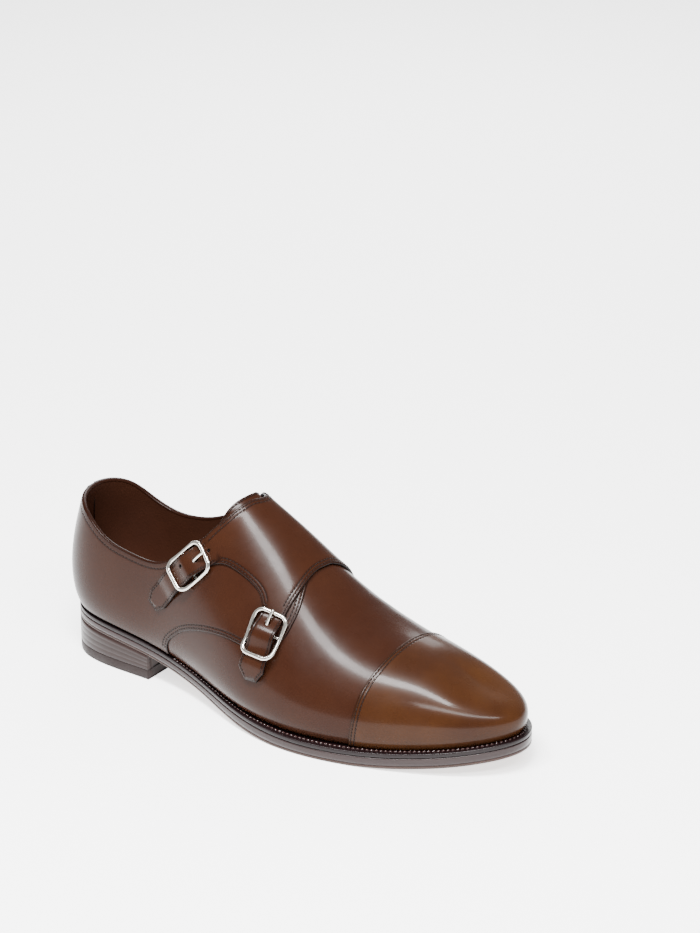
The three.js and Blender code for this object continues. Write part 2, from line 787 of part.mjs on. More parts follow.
// A profile in a and h, given a width in w and laid on the upper.
function laid(strap, shape, half) {
  const g = new THREE.ExtrudeGeometry(shape, {
    depth: 2 * half,
    steps: 2,
    bevelEnabled: false,
    curveSegments: 10,
  });
  const position = g.getAttribute("position");
  for (let i = 0; i < position.count; i++) {
    const p = strap.place(position.getX(i), position.getZ(i) - half, position.getY(i));
    position.setXYZ(i, p.x, p.y, p.z);
  }
  const bare = new THREE.BufferGeometry();
  bare.setAttribute("position", position);
  return toManifold(mergeVertices(bare, MERGE));
}
function ringShape(outer, inner) {
  const shape = new THREE.Shape();
  shape.absarc(0, BAR_HEIGHT, outer, 0, 2 * Math.PI, false);
  const hole = new THREE.Path();
  hole.absarc(0, BAR_HEIGHT, inner, 0, 2 * Math.PI, true);
  shape.holes.push(hole);
  return shape;
}
// Path of the prong: from its eye on the bar, up through the strap, over the frame's end.
const PRONG = [
  [1.6, 3.1],
  [4.4, 4.3],
  [7.3, 5.3],
  [10, 6.1],
  [BUCKLE_HALF_LENGTH, 6.4],
  [13.8, 6.2],
];
function prongRod(strap, radius) {
  const curve = new THREE.CatmullRomCurve3(PRONG.map(([a, h]) => vec(a, h, 0)));
  const points = curve.getPoints(6).map((q) => strap.place(q.x, 0, q.y));
  return toManifold(rod(points, radius, 6));
}
function makeProng(strap) {
  const eye = laid(strap, ringShape(EYE_RADIUS, BAR + BAR_CLEARANCE), EYE_HALF);
  return fromManifold(eye.add(prongRod(strap, PRONG_RADIUS)));
}
// Buckle tab: folded round the bar, its tail sewn down under the strap's end.
function makeTab(strap) {
  const shape = new THREE.Shape();
  shape.moveTo(TAB_TAIL, GAP);
  for (let a = TAB_TAIL + 3; a < 0; a += 3) shape.lineTo(a, GAP);
  for (let k = 0; k <= 8; k++) {
    const angle = -Math.PI / 2 + (Math.PI * 1.12 * k) / 8;
    shape.lineTo(TAB_LOOP * Math.cos(angle), BAR_HEIGHT + TAB_LOOP * Math.sin(angle));
  }
  shape.lineTo(-3.2, BAR_HEIGHT);
  for (let a = -5; a >= TAB_TAIL; a -= 3) shape.lineTo(a, TAB_TOP);
  shape.closePath();
  const hole = new THREE.Path();
  hole.absarc(0, BAR_HEIGHT, BAR + BAR_CLEARANCE, 0, 2 * Math.PI, true);
  shape.holes.push(hole);
  const slot = new THREE.Shape();
  slot.moveTo(-2.7, -1);
  slot.lineTo(3, -1);
  slot.lineTo(3, 7);
  slot.lineTo(-2.7, 7);
  slot.closePath();
  return fromManifold(laid(strap, shape, TAB_HALF).subtract(laid(strap, slot, TAB_SLOT)));
}

function makeFlap() {
  const FLAP_STEP = 6; // longest side of a triangle on its outline
  const { rear, front } = STRAPS;
  const outline = [
    ...FLAP_TOP,
    ...strapEdge(rear, -1, 8),
    ...strapEdge(rear, 1, 8).reverse(),
    ...FLAP_ARCH,
    ...strapEdge(front, -1, 13),
    ...strapEdge(front, 1, 12).reverse(),
    ...FLAP_FRONT,
    ...FLAP_LOWER,
  ];
  const rise = (p) => rear.hump(p) + front.hump(p);
  const body = sheet(outline, (p) => GAP + rise(p), (p) => GAP + FLAP + rise(p), FLAP_STEP);
  let solid = toManifold(body);
  for (const strap of [rear, front]) solid = solid.subtract(prongRod(strap, PRONG_HOLE));
  return fromManifold(solid);
}

// ---------------------------------------------------------------- sole and heel
// A board between matching points of the two sides, from heel back to u limits.
function board(margin, low, high, lateralEnd, medialEnd, rungs, taper = 0) {
  const skin = new Skin();
  const across = 4;
  const layer = (height, inset) => {
    const grid = [];
    for (let i = 0; i <= rungs; i++) {
      const k = i / rungs;
      const uL = lateralEnd * k;
      const uM = 1 - (1 - medialEnd) * k;
      const a = rim(uL, margin(uL) - inset);
      const b = rim(uM, margin(uM) - inset);
      const line = [];
      for (let j = 0; j <= across; j++) {
        const x = a[0] + ((b[0] - a[0]) * j) / across;
        const y = a[1] + ((b[1] - a[1]) * j) / across;
        line.push(vec(x, y, height(x)));
      }
      grid.push(line);
    }
    return grid;
  };
  const { o, q } = plate(skin, layer(high, 0), layer(low, taper), false);
  wallAlong(skin, o.map((r) => r[0]), q.map((r) => r[0]), false);
  wallAlong(skin, q.map((r) => r[across]), o.map((r) => r[across]), false);
  wallAlong(skin, o[rungs], q[rungs], false);
  return skin.geometry();
}
const weltMargin = (u) => ring(u)[7];
const weltUnder = (x) => featherZ(x) - WELT;
const soleTop = (x) => featherZ(x) - WELT - GAP;
function soleUnder(x) {
  const k = THREE.MathUtils.smoothstep(x, 105, 165);
  const thick = OUTSOLE_REAR + (OUTSOLE_FORE - OUTSOLE_REAR) * k;
  return Math.max(0, soleTop(x) - thick);
}
function makeWelt() {
  const skin = new Skin();
  const sections = 72;
  const loops = [];
  for (let i = 0; i <= sections; i++) {
    const u = i / sections;
    const inner = rim(u, -WALL);
    const outer = rim(u, weltMargin(u));
    loops.push(
      [inner, outer]
        .map(([x, y]) => [vec(x, y, featherZ(x)), vec(x, y, weltUnder(x))])
        .flat()
        .map((p) => skin.add(p)),
    );
  }
  for (let i = 0; i < sections; i++) {
    const [it, ib, ot, ob] = loops[i];
    const [it2, ib2, ot2, ob2] = loops[i + 1];
    skin.quad(it, ot, ot2, it2);
    skin.quad(ot, ob, ob2, ot2);
    skin.quad(ob, ib, ib2, ob2);
    skin.quad(ib, it, it2, ib2);
  }
  return skin.geometry();
}
// u where the sole's edge crosses a station x, on one side.
function edgeU(side, x) {
  let low = side < 0 ? 0 : 1;
  let high = TIP;
  for (let i = 0; i < 40; i++) {
    const middle = (low + high) / 2;
    if (rim(middle, weltMargin(middle))[0] < x) low = middle;
    else high = middle;
  }
  return (low + high) / 2;
}
const heelL = edgeU(-1, BREAST);
const heelM = edgeU(1, BREAST);
const seat = (x) => soleTop(x) - OUTSOLE_REAR - GAP;

// ---------------------------------------------------------------- the assembly
const leather = (color, roughness) => ({ color, roughness, metalness: 0 });
const nickel = { color: 0xc9c7c2, roughness: 0.18, metalness: 1 };
const calf = leather(0x5a3220, 0.38);
const edgeBrown = leather(0x2b1a18, 0.35);
const group = new THREE.Group();
function piece(name, geometry, look) {
  geometry.computeVertexNormals();
  const mesh = new THREE.Mesh(geometry, new THREE.MeshStandardMaterial(look));
  mesh.name = name;
  group.add(mesh);
}
const insoleMargin = () => -WALL - 2 * GAP;
const insoleTop = (x) => featherZ(x) + INSOLE_RISE;
const topPiece = board(weltMargin, () => 0, () => TOP_PIECE, heelL, heelM, 14, 0.4);
const heelStack = board(weltMargin, () => TOP_PIECE + GAP, seat, heelL, heelM, 14);
piece("top_piece", topPiece, leather(0x1c1716, 0.6));
piece("heel_stack", heelStack, edgeBrown);
piece("outsole", board(weltMargin, soleUnder, soleTop, TIP, TIP, 40), edgeBrown);
piece("welt", makeWelt(), leather(0x24151a, 0.35));
piece("insole", board(insoleMargin, weltUnder, insoleTop, TIP, TIP, 40), leather(0x4a3020, 0.6));
piece("upper", makeUpper(), calf);
piece("toe_cap", makeCap(), leather(0x63381f, 0.34));
piece("tongue", makeTongue(), calf);
piece("monk_flap", makeFlap(), calf);
for (const [name, strap] of Object.entries(STRAPS)) {
  piece("buckle_tab_" + name, makeTab(strap), calf);
  piece("buckle_" + name, makeBuckle(strap), nickel);
  piece("prong_" + name, makeProng(strap), nickel);
}

// The frame's origin is the middle of the underside of the whole shoe.
const box = new THREE.Box3().setFromObject(group);
group.position.set(-(box.min.x + box.max.x) / 2, -(box.min.y + box.max.y) / 2, -box.min.z);

export default group;
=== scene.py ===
# %% [markdown]
# A men's double monk strap shoe for the right foot. The script starts by loading the packed
# model, which fixes where every piece goes. Each piece is then remade with a fine surface and
# a finish of its own: the upper first, then the sole, the heel and the buckles. All shoe sizes
# below are in millimetres, measured in the maker's frame: heel back near x = 0, toe towards +X,
# outer side towards -Y, ground at 0.

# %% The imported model
import math

import bmesh
import bpy
import numpy as np
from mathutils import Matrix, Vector
from mathutils.geometry import delaunay_2d_cdt


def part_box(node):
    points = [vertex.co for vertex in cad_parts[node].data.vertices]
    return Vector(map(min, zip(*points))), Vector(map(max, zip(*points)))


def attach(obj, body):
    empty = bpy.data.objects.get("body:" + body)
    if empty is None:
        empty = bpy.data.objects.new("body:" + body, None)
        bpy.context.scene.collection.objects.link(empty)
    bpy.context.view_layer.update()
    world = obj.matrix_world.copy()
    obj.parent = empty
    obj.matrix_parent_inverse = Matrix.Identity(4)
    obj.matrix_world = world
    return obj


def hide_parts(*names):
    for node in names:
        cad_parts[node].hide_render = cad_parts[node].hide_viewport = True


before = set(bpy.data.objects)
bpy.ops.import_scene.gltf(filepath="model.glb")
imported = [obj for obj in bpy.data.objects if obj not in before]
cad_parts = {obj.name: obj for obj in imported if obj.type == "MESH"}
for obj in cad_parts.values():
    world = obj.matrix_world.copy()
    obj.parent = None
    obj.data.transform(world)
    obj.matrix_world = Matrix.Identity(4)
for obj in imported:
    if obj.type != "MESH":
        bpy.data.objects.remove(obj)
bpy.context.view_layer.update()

# %% [markdown]
# Every leather piece of a shoe is pulled over one wooden form, the last, so all of them share
# one curved surface. That surface could be sculpted, but a short table of cross-sections, each
# row one section, keeps it exact and easy to change. Smooth curves are then run through the
# rows. The columns: feather line in plan (where the upper meets the sole), how far the bulge
# stands out and up from it, how full the side and the top are, the ridge station the section
# climbs to, and how far the sole stands out.

# %% Tables of the last
RING = {
    "heel_back": (5, 1, 5, 24, 0.28, 0.50, 42, 2.0),
    "heel_corner_lateral": (15, -21, 5, 24, 0.36, 0.50, 46, 2.0),
    "heel_side_lateral": (42, -29, 4.5, 24, 0.46, 0.52, 60, 2.0),
    "breast_lateral": (75, -30, 4.5, 22, 0.52, 0.50, 84, 2.0),
    "waist_lateral": (110, -36, 6, 20, 0.48, 0.45, 114, 2.5),
    "shank_lateral": (148, -47, 6, 17, 0.45, 0.45, 150, 4.0),
    "joint_lateral": (188, -50, 4.5, 13, 0.43, 0.50, 186, 6.0),
    "fore_lateral": (222, -43.5, 3.5, 11, 0.48, 0.53, 216, 6.5),
    "toe_side_lateral": (256, -31.5, 3, 10, 0.53, 0.56, 243, 6.5),
    "toe_corner_lateral": (286, -14, 3, 9, 0.53, 0.56, 258, 6.5),
    "toe_tip": (297, 4, 3, 9, 0.53, 0.53, 263, 6.5),
    "toe_corner_medial": (288, 20, 3, 9, 0.53, 0.56, 258, 6.5),
    "toe_side_medial": (261, 32, 3, 10, 0.53, 0.56, 243, 6.5),
    "fore_medial": (226, 40, 4, 13, 0.48, 0.53, 214, 6.0),
    "joint_medial": (190, 38, 5, 16, 0.43, 0.48, 182, 5.0),
    "shank_medial": (150, 26, 8, 22, 0.40, 0.45, 146, 2.0),
    "waist_medial": (112, 21, 9, 26, 0.45, 0.45, 112, 1.5),
    "breast_medial": (75, 25, 6, 24, 0.52, 0.50, 82, 1.8),
    "heel_side_medial": (42, 28, 4.5, 24, 0.46, 0.52, 60, 2.0),
    "heel_corner_medial": (15, 21, 5, 24, 0.36, 0.50, 46, 2.0),
}
# ridge of the instep: x, y, z
RIDGE = [
    (40, 1, 150), (90, 2, 140), (118, 3, 122), (150, 4, 103),
    (185, 4, 77.5), (225, 3, 59), (250, 3.5, 53), (270, 4, 43),
]
# height of the feather line: x, z
FEATHER = [
    (-6, 29.6), (15, 28.6), (45, 26.2), (75, 22), (110, 16.2), (148, 11.2), (180, 9.2),
    (200, 9), (220, 9.3), (240, 10.5), (262, 13.2), (285, 17), (304, 20.5),
]
GAP = 0.3  # between neighbouring pieces
STATION, MARGIN = 6, 7  # the columns that hold the ridge station and the sole's reach


def spline(knots, rows):
    """A natural cubic curve through rows of numbers; the result takes whole arrays."""
    knots = np.array(knots, float)
    rows = np.array(rows, float).reshape(len(knots), -1)
    n = len(knots)
    h = np.diff(knots)
    system = np.eye(n)
    right = np.zeros_like(rows)
    for i in range(1, n - 1):
        system[i, i - 1 : i + 2] = h[i - 1], 2 * (h[i - 1] + h[i]), h[i]
        right[i] = 6 * ((rows[i + 1] - rows[i]) / h[i] - (rows[i] - rows[i - 1]) / h[i - 1])
    bend = np.linalg.solve(system, right)

    def at(x, slope=False):
        x = np.asarray(x, float)
        i = np.clip(np.searchsorted(knots, x, side="right") - 1, 0, n - 2)
        step = h[i][..., None]
        a = ((knots[i + 1] - x) / h[i])[..., None]
        b = 1 - a
        if slope:
            lean = (3 * b * b - 1) * bend[i + 1] - (3 * a * a - 1) * bend[i]
            return (rows[i + 1] - rows[i]) / step + lean * step / 6
        curl = (a**3 - a) * bend[i] + (b**3 - b) * bend[i + 1]
        return a * rows[i] + b * rows[i + 1] + curl * step**2 / 6

    return at


ring_rows = np.array(list(RING.values()), float)
ring_steps = np.hypot(*np.diff(np.vstack([ring_rows, ring_rows[:1]])[:, :2], axis=0).T)
ring_marks = np.concatenate([[0], np.cumsum(ring_steps)[:-1]]) / ring_steps.sum()
WRAP = 6
turns = range(-WRAP, len(RING) + WRAP + 1)
ring = spline(
    [ring_marks[i % len(RING)] + i // len(RING) for i in turns],
    [ring_rows[i % len(RING)] for i in turns],
)
ridge = spline([r[0] for r in RIDGE], [r[1:] for r in RIDGE])
feather = spline([r[0] for r in FEATHER], [r[1] for r in FEATHER])
TIP = ring_marks[list(RING).index("toe_tip")]
print("sections round the last:", len(RING), "toe tip at", round(TIP, 3))


# %% [markdown]
# Two numbers say where a point lies on the last: u runs once round the sole's edge and v climbs
# from the feather line (0) over the bulge (0.2) to the ridge (1). Each side is a Bezier curve in
# two parts, the bulge and the climb to the ridge, so a few handles from the table shape it. The
# normal is worked out too, because every leather lies some thickness above this surface.

# %% The surface
BULGE = 0.2
TURN_UP = 0.35  # how much of the bulge's rise the side has climbed where it turns up
NORMAL_STEP = 2e-4  # how far round the normal looks, in u and in v
CREST = 0.9995  # above this v the ridge's own normal is used
U_STEP = 0.002


def feather_z(x):
    return feather(x)[..., 0]


def plan_outward(u):
    d = ring(u, True)
    size = np.hypot(d[..., 0], d[..., 1])
    return d[..., 1] / size, -d[..., 0] / size


def plan_place(u, margin):
    """x and y of the feather line, moved outwards in plan by margin."""
    row = ring(u)
    nx, ny = plan_outward(u)
    return row[:, 0] + nx * margin, row[:, 1] + ny * margin


def last(u, v):
    """The point of the last at u round it and v up it."""
    u, v = np.broadcast_arrays(np.asarray(u, float), np.asarray(v, float))
    x, y, out, up, wall, crown, station, _ = np.moveaxis(ring(u), -1, 0)
    nx, ny = plan_outward(u)
    foot = np.stack([x, y, feather_z(x) + GAP], -1)
    bulge = foot + np.stack([nx * out, ny * out, up], -1)
    turn = np.stack([bulge[..., 0], bulge[..., 1], foot[..., 2] + TURN_UP * up], -1)
    w = np.clip(v / BULGE, 0, 1)[..., None]
    low = foot * (1 - w) ** 2 + turn * 2 * w * (1 - w) + bulge * w * w
    ry, rz = np.moveaxis(ridge(station), -1, 0)
    slope = ridge(station, True)[..., 1]
    top = np.stack([station, ry, rz], -1)
    side = bulge.copy()
    side[..., 2] += wall * (rz - bulge[..., 2])
    reach = top - bulge
    fall = np.stack([reach[..., 0], reach[..., 1], slope * reach[..., 0]], -1)
    shoulder = top - crown[..., None] * fall
    w = np.clip((v - BULGE) / (1 - BULGE), 0, 1)[..., None]
    high = bulge * (1 - w) ** 3 + side * 3 * w * (1 - w) ** 2
    high = high + shoulder * 3 * w * w * (1 - w) + top * w**3
    return np.where(v[..., None] < BULGE, low, high)


def last_normal(u, v):
    u, v = np.broadcast_arrays(np.asarray(u, float), np.asarray(v, float))
    along = last(u + NORMAL_STEP, v) - last(u - NORMAL_STEP, v)
    rise = last(u, np.minimum(v + NORMAL_STEP, 1)) - last(u, np.maximum(v - NORMAL_STEP, 0))
    n = np.cross(along, rise)
    n /= np.linalg.norm(n, axis=-1, keepdims=True) + 1e-12
    slope = ridge(ring(u)[..., STATION], True)[..., 1]
    crest = np.stack([-slope, 0 * slope, 1 + 0 * slope], -1)
    crest /= np.linalg.norm(crest, axis=-1, keepdims=True)
    return np.where(v[..., None] > CREST, crest, n)


def mm_per_u(u, v):
    """How many millimetres one whole u would be here."""
    return np.linalg.norm(last(u + U_STEP, v) - last(u, v), axis=1) / U_STEP


around_edge = ring(np.linspace(0, 1, 401))
print("feather line, mm:", np.round(np.ptp(around_edge[:, :2], axis=0), 1))
print("ridge point above the ball:", np.round(last(ring_marks[6], 1.0), 1))

# %% [markdown]
# Pattern pieces are easier to draw on a flat chart, as a pattern cutter does, so a second pair
# of numbers is used for them: a station along the ridge and t, which is 0 on the ridge, -1 at
# the outer edge of the sole and +1 at the inner edge. Each side has a table from station to u.

# %% The chart
CHART_ROWS = 6001
CHART_BACK = 80.0  # behind this station the chart counts along the heel instead
PACE_ROWS = 40  # rows over which the count's pace is measured there


def chart_table(start):
    """u against chart station on one side; behind CHART_BACK the count carries on evenly."""
    u = np.linspace(start, TIP, CHART_ROWS)
    station = ring(u)[..., STATION]
    back = np.searchsorted(station, CHART_BACK)
    pace = (station[back + PACE_ROWS] - station[back]) / PACE_ROWS
    count = station.copy()
    count[:back] = station[back] - pace * np.arange(back, 0, -1)
    return count, u


charts = {-1: chart_table(0.0), 1: chart_table(1.0)}


def chart_u(s, t):
    outer = np.interp(s, *charts[-1])
    inner = np.interp(s, *charts[1])
    return np.where(np.asarray(t) < 0, outer, inner)


def across_ridge(u):
    """The u on the inner side that climbs to the same ridge station."""
    return np.interp(ring(u)[..., STATION], ring(charts[1][1])[..., STATION], charts[1][1])


def on_last(s, t):
    """Point and normal at a chart place."""
    u = chart_u(s, t)
    v = 1 - np.abs(t)
    return last(u, v), last_normal(u, v)


HEEL_OUTER = float(charts[-1][0][0])
HEEL_INNER = float(charts[1][0][0])
print("chart starts at", round(HEEL_OUTER, 1), "outside and", round(HEEL_INNER, 1), "inside")

# %% [markdown]
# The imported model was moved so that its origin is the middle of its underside. The welt's box
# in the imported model, less the same welt's reach in the maker's frame, gives that move, so each
# fine piece lands exactly on the solid it stands for.

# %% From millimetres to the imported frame
MM = 1000  # in a metre
edge_u = np.linspace(0, 1, 20001)
edge_x, edge_y = plan_place(edge_u, ring(edge_u)[:, MARGIN])
welt_low, welt_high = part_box("welt")
shift = np.array(
    [
        MM / 2 * (welt_low.x + welt_high.x) - (edge_x.min() + edge_x.max()) / 2,
        MM / 2 * (welt_low.y + welt_high.y) - (edge_y.min() + edge_y.max()) / 2,
        0.0,
    ]
)


def metres(points):
    return (np.asarray(points, float) + shift) / MM


print("move to the packed frame, mm:", np.round(shift, 2))

# %% [markdown]
# A camera far back with a long lens keeps the shoe's lines nearly parallel, as in a shop
# picture. It comes early, so that each piece can be judged as soon as it is made.

# %% Camera
CAMERA_AZIMUTH = 36.0
CAMERA_ELEVATION = 26.4
CAMERA_DISTANCE = 2300.0
FOCUS = np.array([150.0, 0.0, 45.0])
AIM_RIGHT = 32.0  # the shoe stands left of the middle and below it
AIM_UP = 89.8
SENSOR = 36.0
LENS = 157.1
FARTHEST = 50.0
azimuth = math.radians(CAMERA_AZIMUTH)
elevation = math.radians(CAMERA_ELEVATION)
back = np.array(
    [
        math.sin(azimuth) * math.cos(elevation),
        -math.cos(azimuth) * math.cos(elevation),
        math.sin(elevation),
    ]
)
rightward = np.array([math.cos(azimuth), math.sin(azimuth), 0.0])
upward = np.cross(back, rightward)
aim = FOCUS + AIM_RIGHT * rightward + AIM_UP * upward
camera_data = bpy.data.cameras.new("camera")
camera_data.sensor_width = SENSOR
camera_data.lens = LENS
camera_data.clip_end = FARTHEST
camera = bpy.data.objects.new("camera", camera_data)
bpy.context.scene.collection.objects.link(camera)
stand = FOCUS + CAMERA_DISTANCE * back
camera.location = Vector(metres(stand))
camera.rotation_mode = "QUATERNION"
camera.rotation_quaternion = Vector(aim - stand).to_track_quat("-Z", "Y")
bpy.context.scene.camera = camera
print("camera at", [round(c, 3) for c in camera.location])

# %% [markdown]
# Finishes come next. Polished calf is not one flat colour: the polish lies thicker in some
# places, the hide has fine pores, and every cut or folded edge is darker, where wax and dye
# gather. Several pieces need the same effects, so each effect is a node group, built once and
# placed in each material with its own values. A piece's mesh carries a number called "edge",
# 1 at its rim and 0 away from it, which tells the material where the rim is. The same number
# also carries painted shade: in the grooves of the stitch rows, in holes, on undersides and
# deep in the lining.

# %% Helpers for node groups
def new_group(name, inputs, outputs):
    """A shader node group with named sockets; returns its tree and its two end nodes."""
    tree = bpy.data.node_groups.new(name, "ShaderNodeTree")
    for socket, kind, value in inputs:
        made = tree.interface.new_socket(socket, in_out="INPUT", socket_type=kind)
        made.default_value = value
    for socket, kind in outputs:
        tree.interface.new_socket(socket, in_out="OUTPUT", socket_type=kind)
    return tree, tree.nodes.new("NodeGroupInput"), tree.nodes.new("NodeGroupOutput")


def node(tree, kind, values=None, **settings):
    made = tree.nodes.new(kind)
    for key, value in settings.items():
        setattr(made, key, value)
    for key, value in (values or {}).items():
        made.inputs[key].default_value = value
    return made


def object_place(tree):
    return node(tree, "ShaderNodeTexCoord").outputs["Object"]


def rim_and_shade_mask(tree):
    return node(tree, "ShaderNodeAttribute", attribute_name="edge").outputs["Fac"]


FLOAT = "NodeSocketFloat"
COLOUR = "NodeSocketColor"
print("node helpers ready")

# %% [markdown]
# The first group is the hide: it mixes a body colour with a lighter one in soft clouds, as hand
# polish does, adds faint dark specks and darkens the rim, together with the painted shade that
# the "edge" number carries. The second is the grain: small pores and broader wrinkles as a
# height, for a Bump node. The third makes the shine a little uneven.

# %% Leather groups
def make_hide_group():
    tree, ends, out = new_group(
        "hide",
        [
            ("Body", COLOUR, (0.16, 0.07, 0.035, 1)),
            ("Light", COLOUR, (0.2, 0.09, 0.045, 1)),
            ("Dark", COLOUR, (0.04, 0.016, 0.01, 1)),
            ("Cloud Scale", FLOAT, 28.0),
            ("Cloud", FLOAT, 0.6),
            ("Rim And Shade", FLOAT, 0.8),
        ],
        [("Color", COLOUR)],
    )
    place = object_place(tree)
    clouds = node(tree, "ShaderNodeTexNoise", {"Detail": 3.0, "Roughness": 0.5})
    tree.links.new(place, clouds.inputs["Vector"])
    tree.links.new(ends.outputs["Cloud Scale"], clouds.inputs["Scale"])
    soft = node(tree, "ShaderNodeMapRange", {"From Min": 0.35, "From Max": 0.68})
    tree.links.new(clouds.outputs["Fac"], soft.inputs["Value"])
    amount = node(tree, "ShaderNodeMath", operation="MULTIPLY")
    tree.links.new(soft.outputs["Result"], amount.inputs[0])
    tree.links.new(ends.outputs["Cloud"], amount.inputs[1])
    polish = node(tree, "ShaderNodeMix", data_type="RGBA")
    tree.links.new(amount.outputs[0], polish.inputs[0])
    tree.links.new(ends.outputs["Body"], polish.inputs[6])
    tree.links.new(ends.outputs["Light"], polish.inputs[7])
    specks = node(tree, "ShaderNodeTexNoise", {"Scale": 350.0, "Detail": 1.0})
    tree.links.new(place, specks.inputs["Vector"])
    speck_range = node(
        tree,
        "ShaderNodeMapRange",
        {"From Min": 0.3, "From Max": 0.7, "To Min": 0.0, "To Max": 0.05},
    )
    tree.links.new(specks.outputs["Fac"], speck_range.inputs["Value"])
    pores = node(tree, "ShaderNodeMix", data_type="RGBA")
    tree.links.new(speck_range.outputs["Result"], pores.inputs[0])
    tree.links.new(polish.outputs[2], pores.inputs[6])
    tree.links.new(ends.outputs["Dark"], pores.inputs[7])
    # the "edge" number darkens the dyed rim and also paints shade into grooves, holes and
    # undersides
    rim = node(tree, "ShaderNodeMath", operation="MULTIPLY")
    tree.links.new(rim_and_shade_mask(tree), rim.inputs[0])
    tree.links.new(ends.outputs["Rim And Shade"], rim.inputs[1])
    burnish_and_shade = node(tree, "ShaderNodeMix", data_type="RGBA")
    tree.links.new(rim.outputs[0], burnish_and_shade.inputs[0])
    tree.links.new(pores.outputs[2], burnish_and_shade.inputs[6])
    tree.links.new(ends.outputs["Dark"], burnish_and_shade.inputs[7])
    tree.links.new(burnish_and_shade.outputs[2], out.inputs["Color"])
    return tree


def make_grain_group():
    tree, ends, out = new_group(
        "grain",
        [("Pore Scale", FLOAT, 1500.0), ("Wrinkle Scale", FLOAT, 260.0), ("Wrinkle", FLOAT, 0.4)],
        [("Height", FLOAT)],
    )
    place = object_place(tree)
    pores = node(tree, "ShaderNodeTexNoise", {"Detail": 1.0, "Roughness": 0.4})
    tree.links.new(place, pores.inputs["Vector"])
    tree.links.new(ends.outputs["Pore Scale"], pores.inputs["Scale"])
    wrinkles = node(
        tree, "ShaderNodeTexNoise", {"Detail": 2.0, "Roughness": 0.5, "Distortion": 0.4}
    )
    tree.links.new(place, wrinkles.inputs["Vector"])
    tree.links.new(ends.outputs["Wrinkle Scale"], wrinkles.inputs["Scale"])
    share = node(tree, "ShaderNodeMath", operation="MULTIPLY")
    tree.links.new(wrinkles.outputs["Fac"], share.inputs[0])
    tree.links.new(ends.outputs["Wrinkle"], share.inputs[1])
    height = node(tree, "ShaderNodeMath", operation="ADD")
    tree.links.new(pores.outputs["Fac"], height.inputs[0])
    tree.links.new(share.outputs[0], height.inputs[1])
    tree.links.new(height.outputs[0], out.inputs["Height"])
    return tree


def make_polish_group():
    tree, ends, out = new_group(
        "polish",
        [("Smooth", FLOAT, 0.24), ("Rough", FLOAT, 0.4), ("Patch Scale", FLOAT, 45.0)],
        [("Roughness", FLOAT)],
    )
    place = object_place(tree)
    patches = node(tree, "ShaderNodeTexNoise", {"Detail": 4.0, "Roughness": 0.6})
    tree.links.new(place, patches.inputs["Vector"])
    tree.links.new(ends.outputs["Patch Scale"], patches.inputs["Scale"])
    spread = node(tree, "ShaderNodeMapRange", {"From Min": 0.3, "From Max": 0.7})
    tree.links.new(patches.outputs["Fac"], spread.inputs["Value"])
    tree.links.new(ends.outputs["Smooth"], spread.inputs["To Min"])
    tree.links.new(ends.outputs["Rough"], spread.inputs["To Max"])
    tree.links.new(spread.outputs["Result"], out.inputs["Roughness"])
    return tree


hide_group = make_hide_group()
grain_group = make_grain_group()
polish_group = make_polish_group()
print("groups:", [g.name for g in (hide_group, grain_group, polish_group)])

# %% [markdown]
# Each leather then places the three groups with its own colours. The toe is warmer because it
# is polished hardest; the lining is matte. The coat on the Principled shader is the wax: its
# weight and roughness are plain numbers on the shader's own sockets.

# %% Leathers
WAX_ROUGHNESS = 0.12
LEATHER_SPECULAR = 0.06
LEATHER_RELIEF = 0.0004  # metres


def place_group(tree, group, values):
    made = tree.nodes.new("ShaderNodeGroup")
    made.node_tree = group
    for key, value in values.items():
        made.inputs[key].default_value = value
    return made


def leather(name, hide, polish=(0.22, 0.34), grain=(420.0, 0.6), bump=0.02, coat=0.06):
    """Body, light and dark colours, then shine, grain, bump strength and wax."""
    body, light, dark, cloud, rim = hide
    made = bpy.data.materials.new(name)
    made.use_nodes = True
    tree = made.node_tree
    shader = tree.nodes["Principled BSDF"]
    colours = place_group(
        tree,
        hide_group,
        {"Body": (*body, 1), "Light": (*light, 1), "Dark": (*dark, 1), "Cloud": cloud, "Rim And Shade": rim},
    )
    tree.links.new(colours.outputs["Color"], shader.inputs["Base Color"])
    shine = place_group(tree, polish_group, {"Smooth": polish[0], "Rough": polish[1]})
    tree.links.new(shine.outputs["Roughness"], shader.inputs["Roughness"])
    pores = place_group(tree, grain_group, {"Pore Scale": grain[0], "Wrinkle": grain[1]})
    relief = node(tree, "ShaderNodeBump", {"Strength": bump, "Distance": LEATHER_RELIEF})
    tree.links.new(pores.outputs["Height"], relief.inputs["Height"])
    tree.links.new(relief.outputs["Normal"], shader.inputs["Normal"])
    shader.inputs["Coat Weight"].default_value = coat
    shader.inputs["Coat Roughness"].default_value = WAX_ROUGHNESS
    shader.inputs["Specular IOR Level"].default_value = LEATHER_SPECULAR
    return made


# the dark of a dyed rim, also used as painted shade in grooves, holes and undersides
RIM_AND_SHADE_DARK = (0.0015, 0.0005, 0.0004)
calf = leather("calf", ((0.0163, 0.005, 0.0024), (0.022, 0.0073, 0.0033), RIM_AND_SHADE_DARK, 0.7, 0.95))
calf_toe = leather(
    "calf_toe", ((0.0205, 0.0066, 0.0023), (0.034, 0.012, 0.0034), RIM_AND_SHADE_DARK, 0.8, 0.95), coat=0.1
)
calf_strap = leather(
    "calf_strap", ((0.0163, 0.005, 0.0023), (0.0232, 0.0076, 0.0032), RIM_AND_SHADE_DARK, 0.7, 0.95)
)
bound_edge = leather(
    "bound_edge", ((0.0105, 0.003, 0.0014), (0.014, 0.0042, 0.0019), RIM_AND_SHADE_DARK, 0.5, 0.3), coat=0.03
)
lining = leather(
    "lining",
    ((0.026, 0.009, 0.005), (0.036, 0.0125, 0.0065), (0.01, 0.004, 0.003), 0.6, 0.5),
    polish=(0.42, 0.6),
    grain=(900.0, 0.7),
    bump=0.25,
    coat=0.0,
)
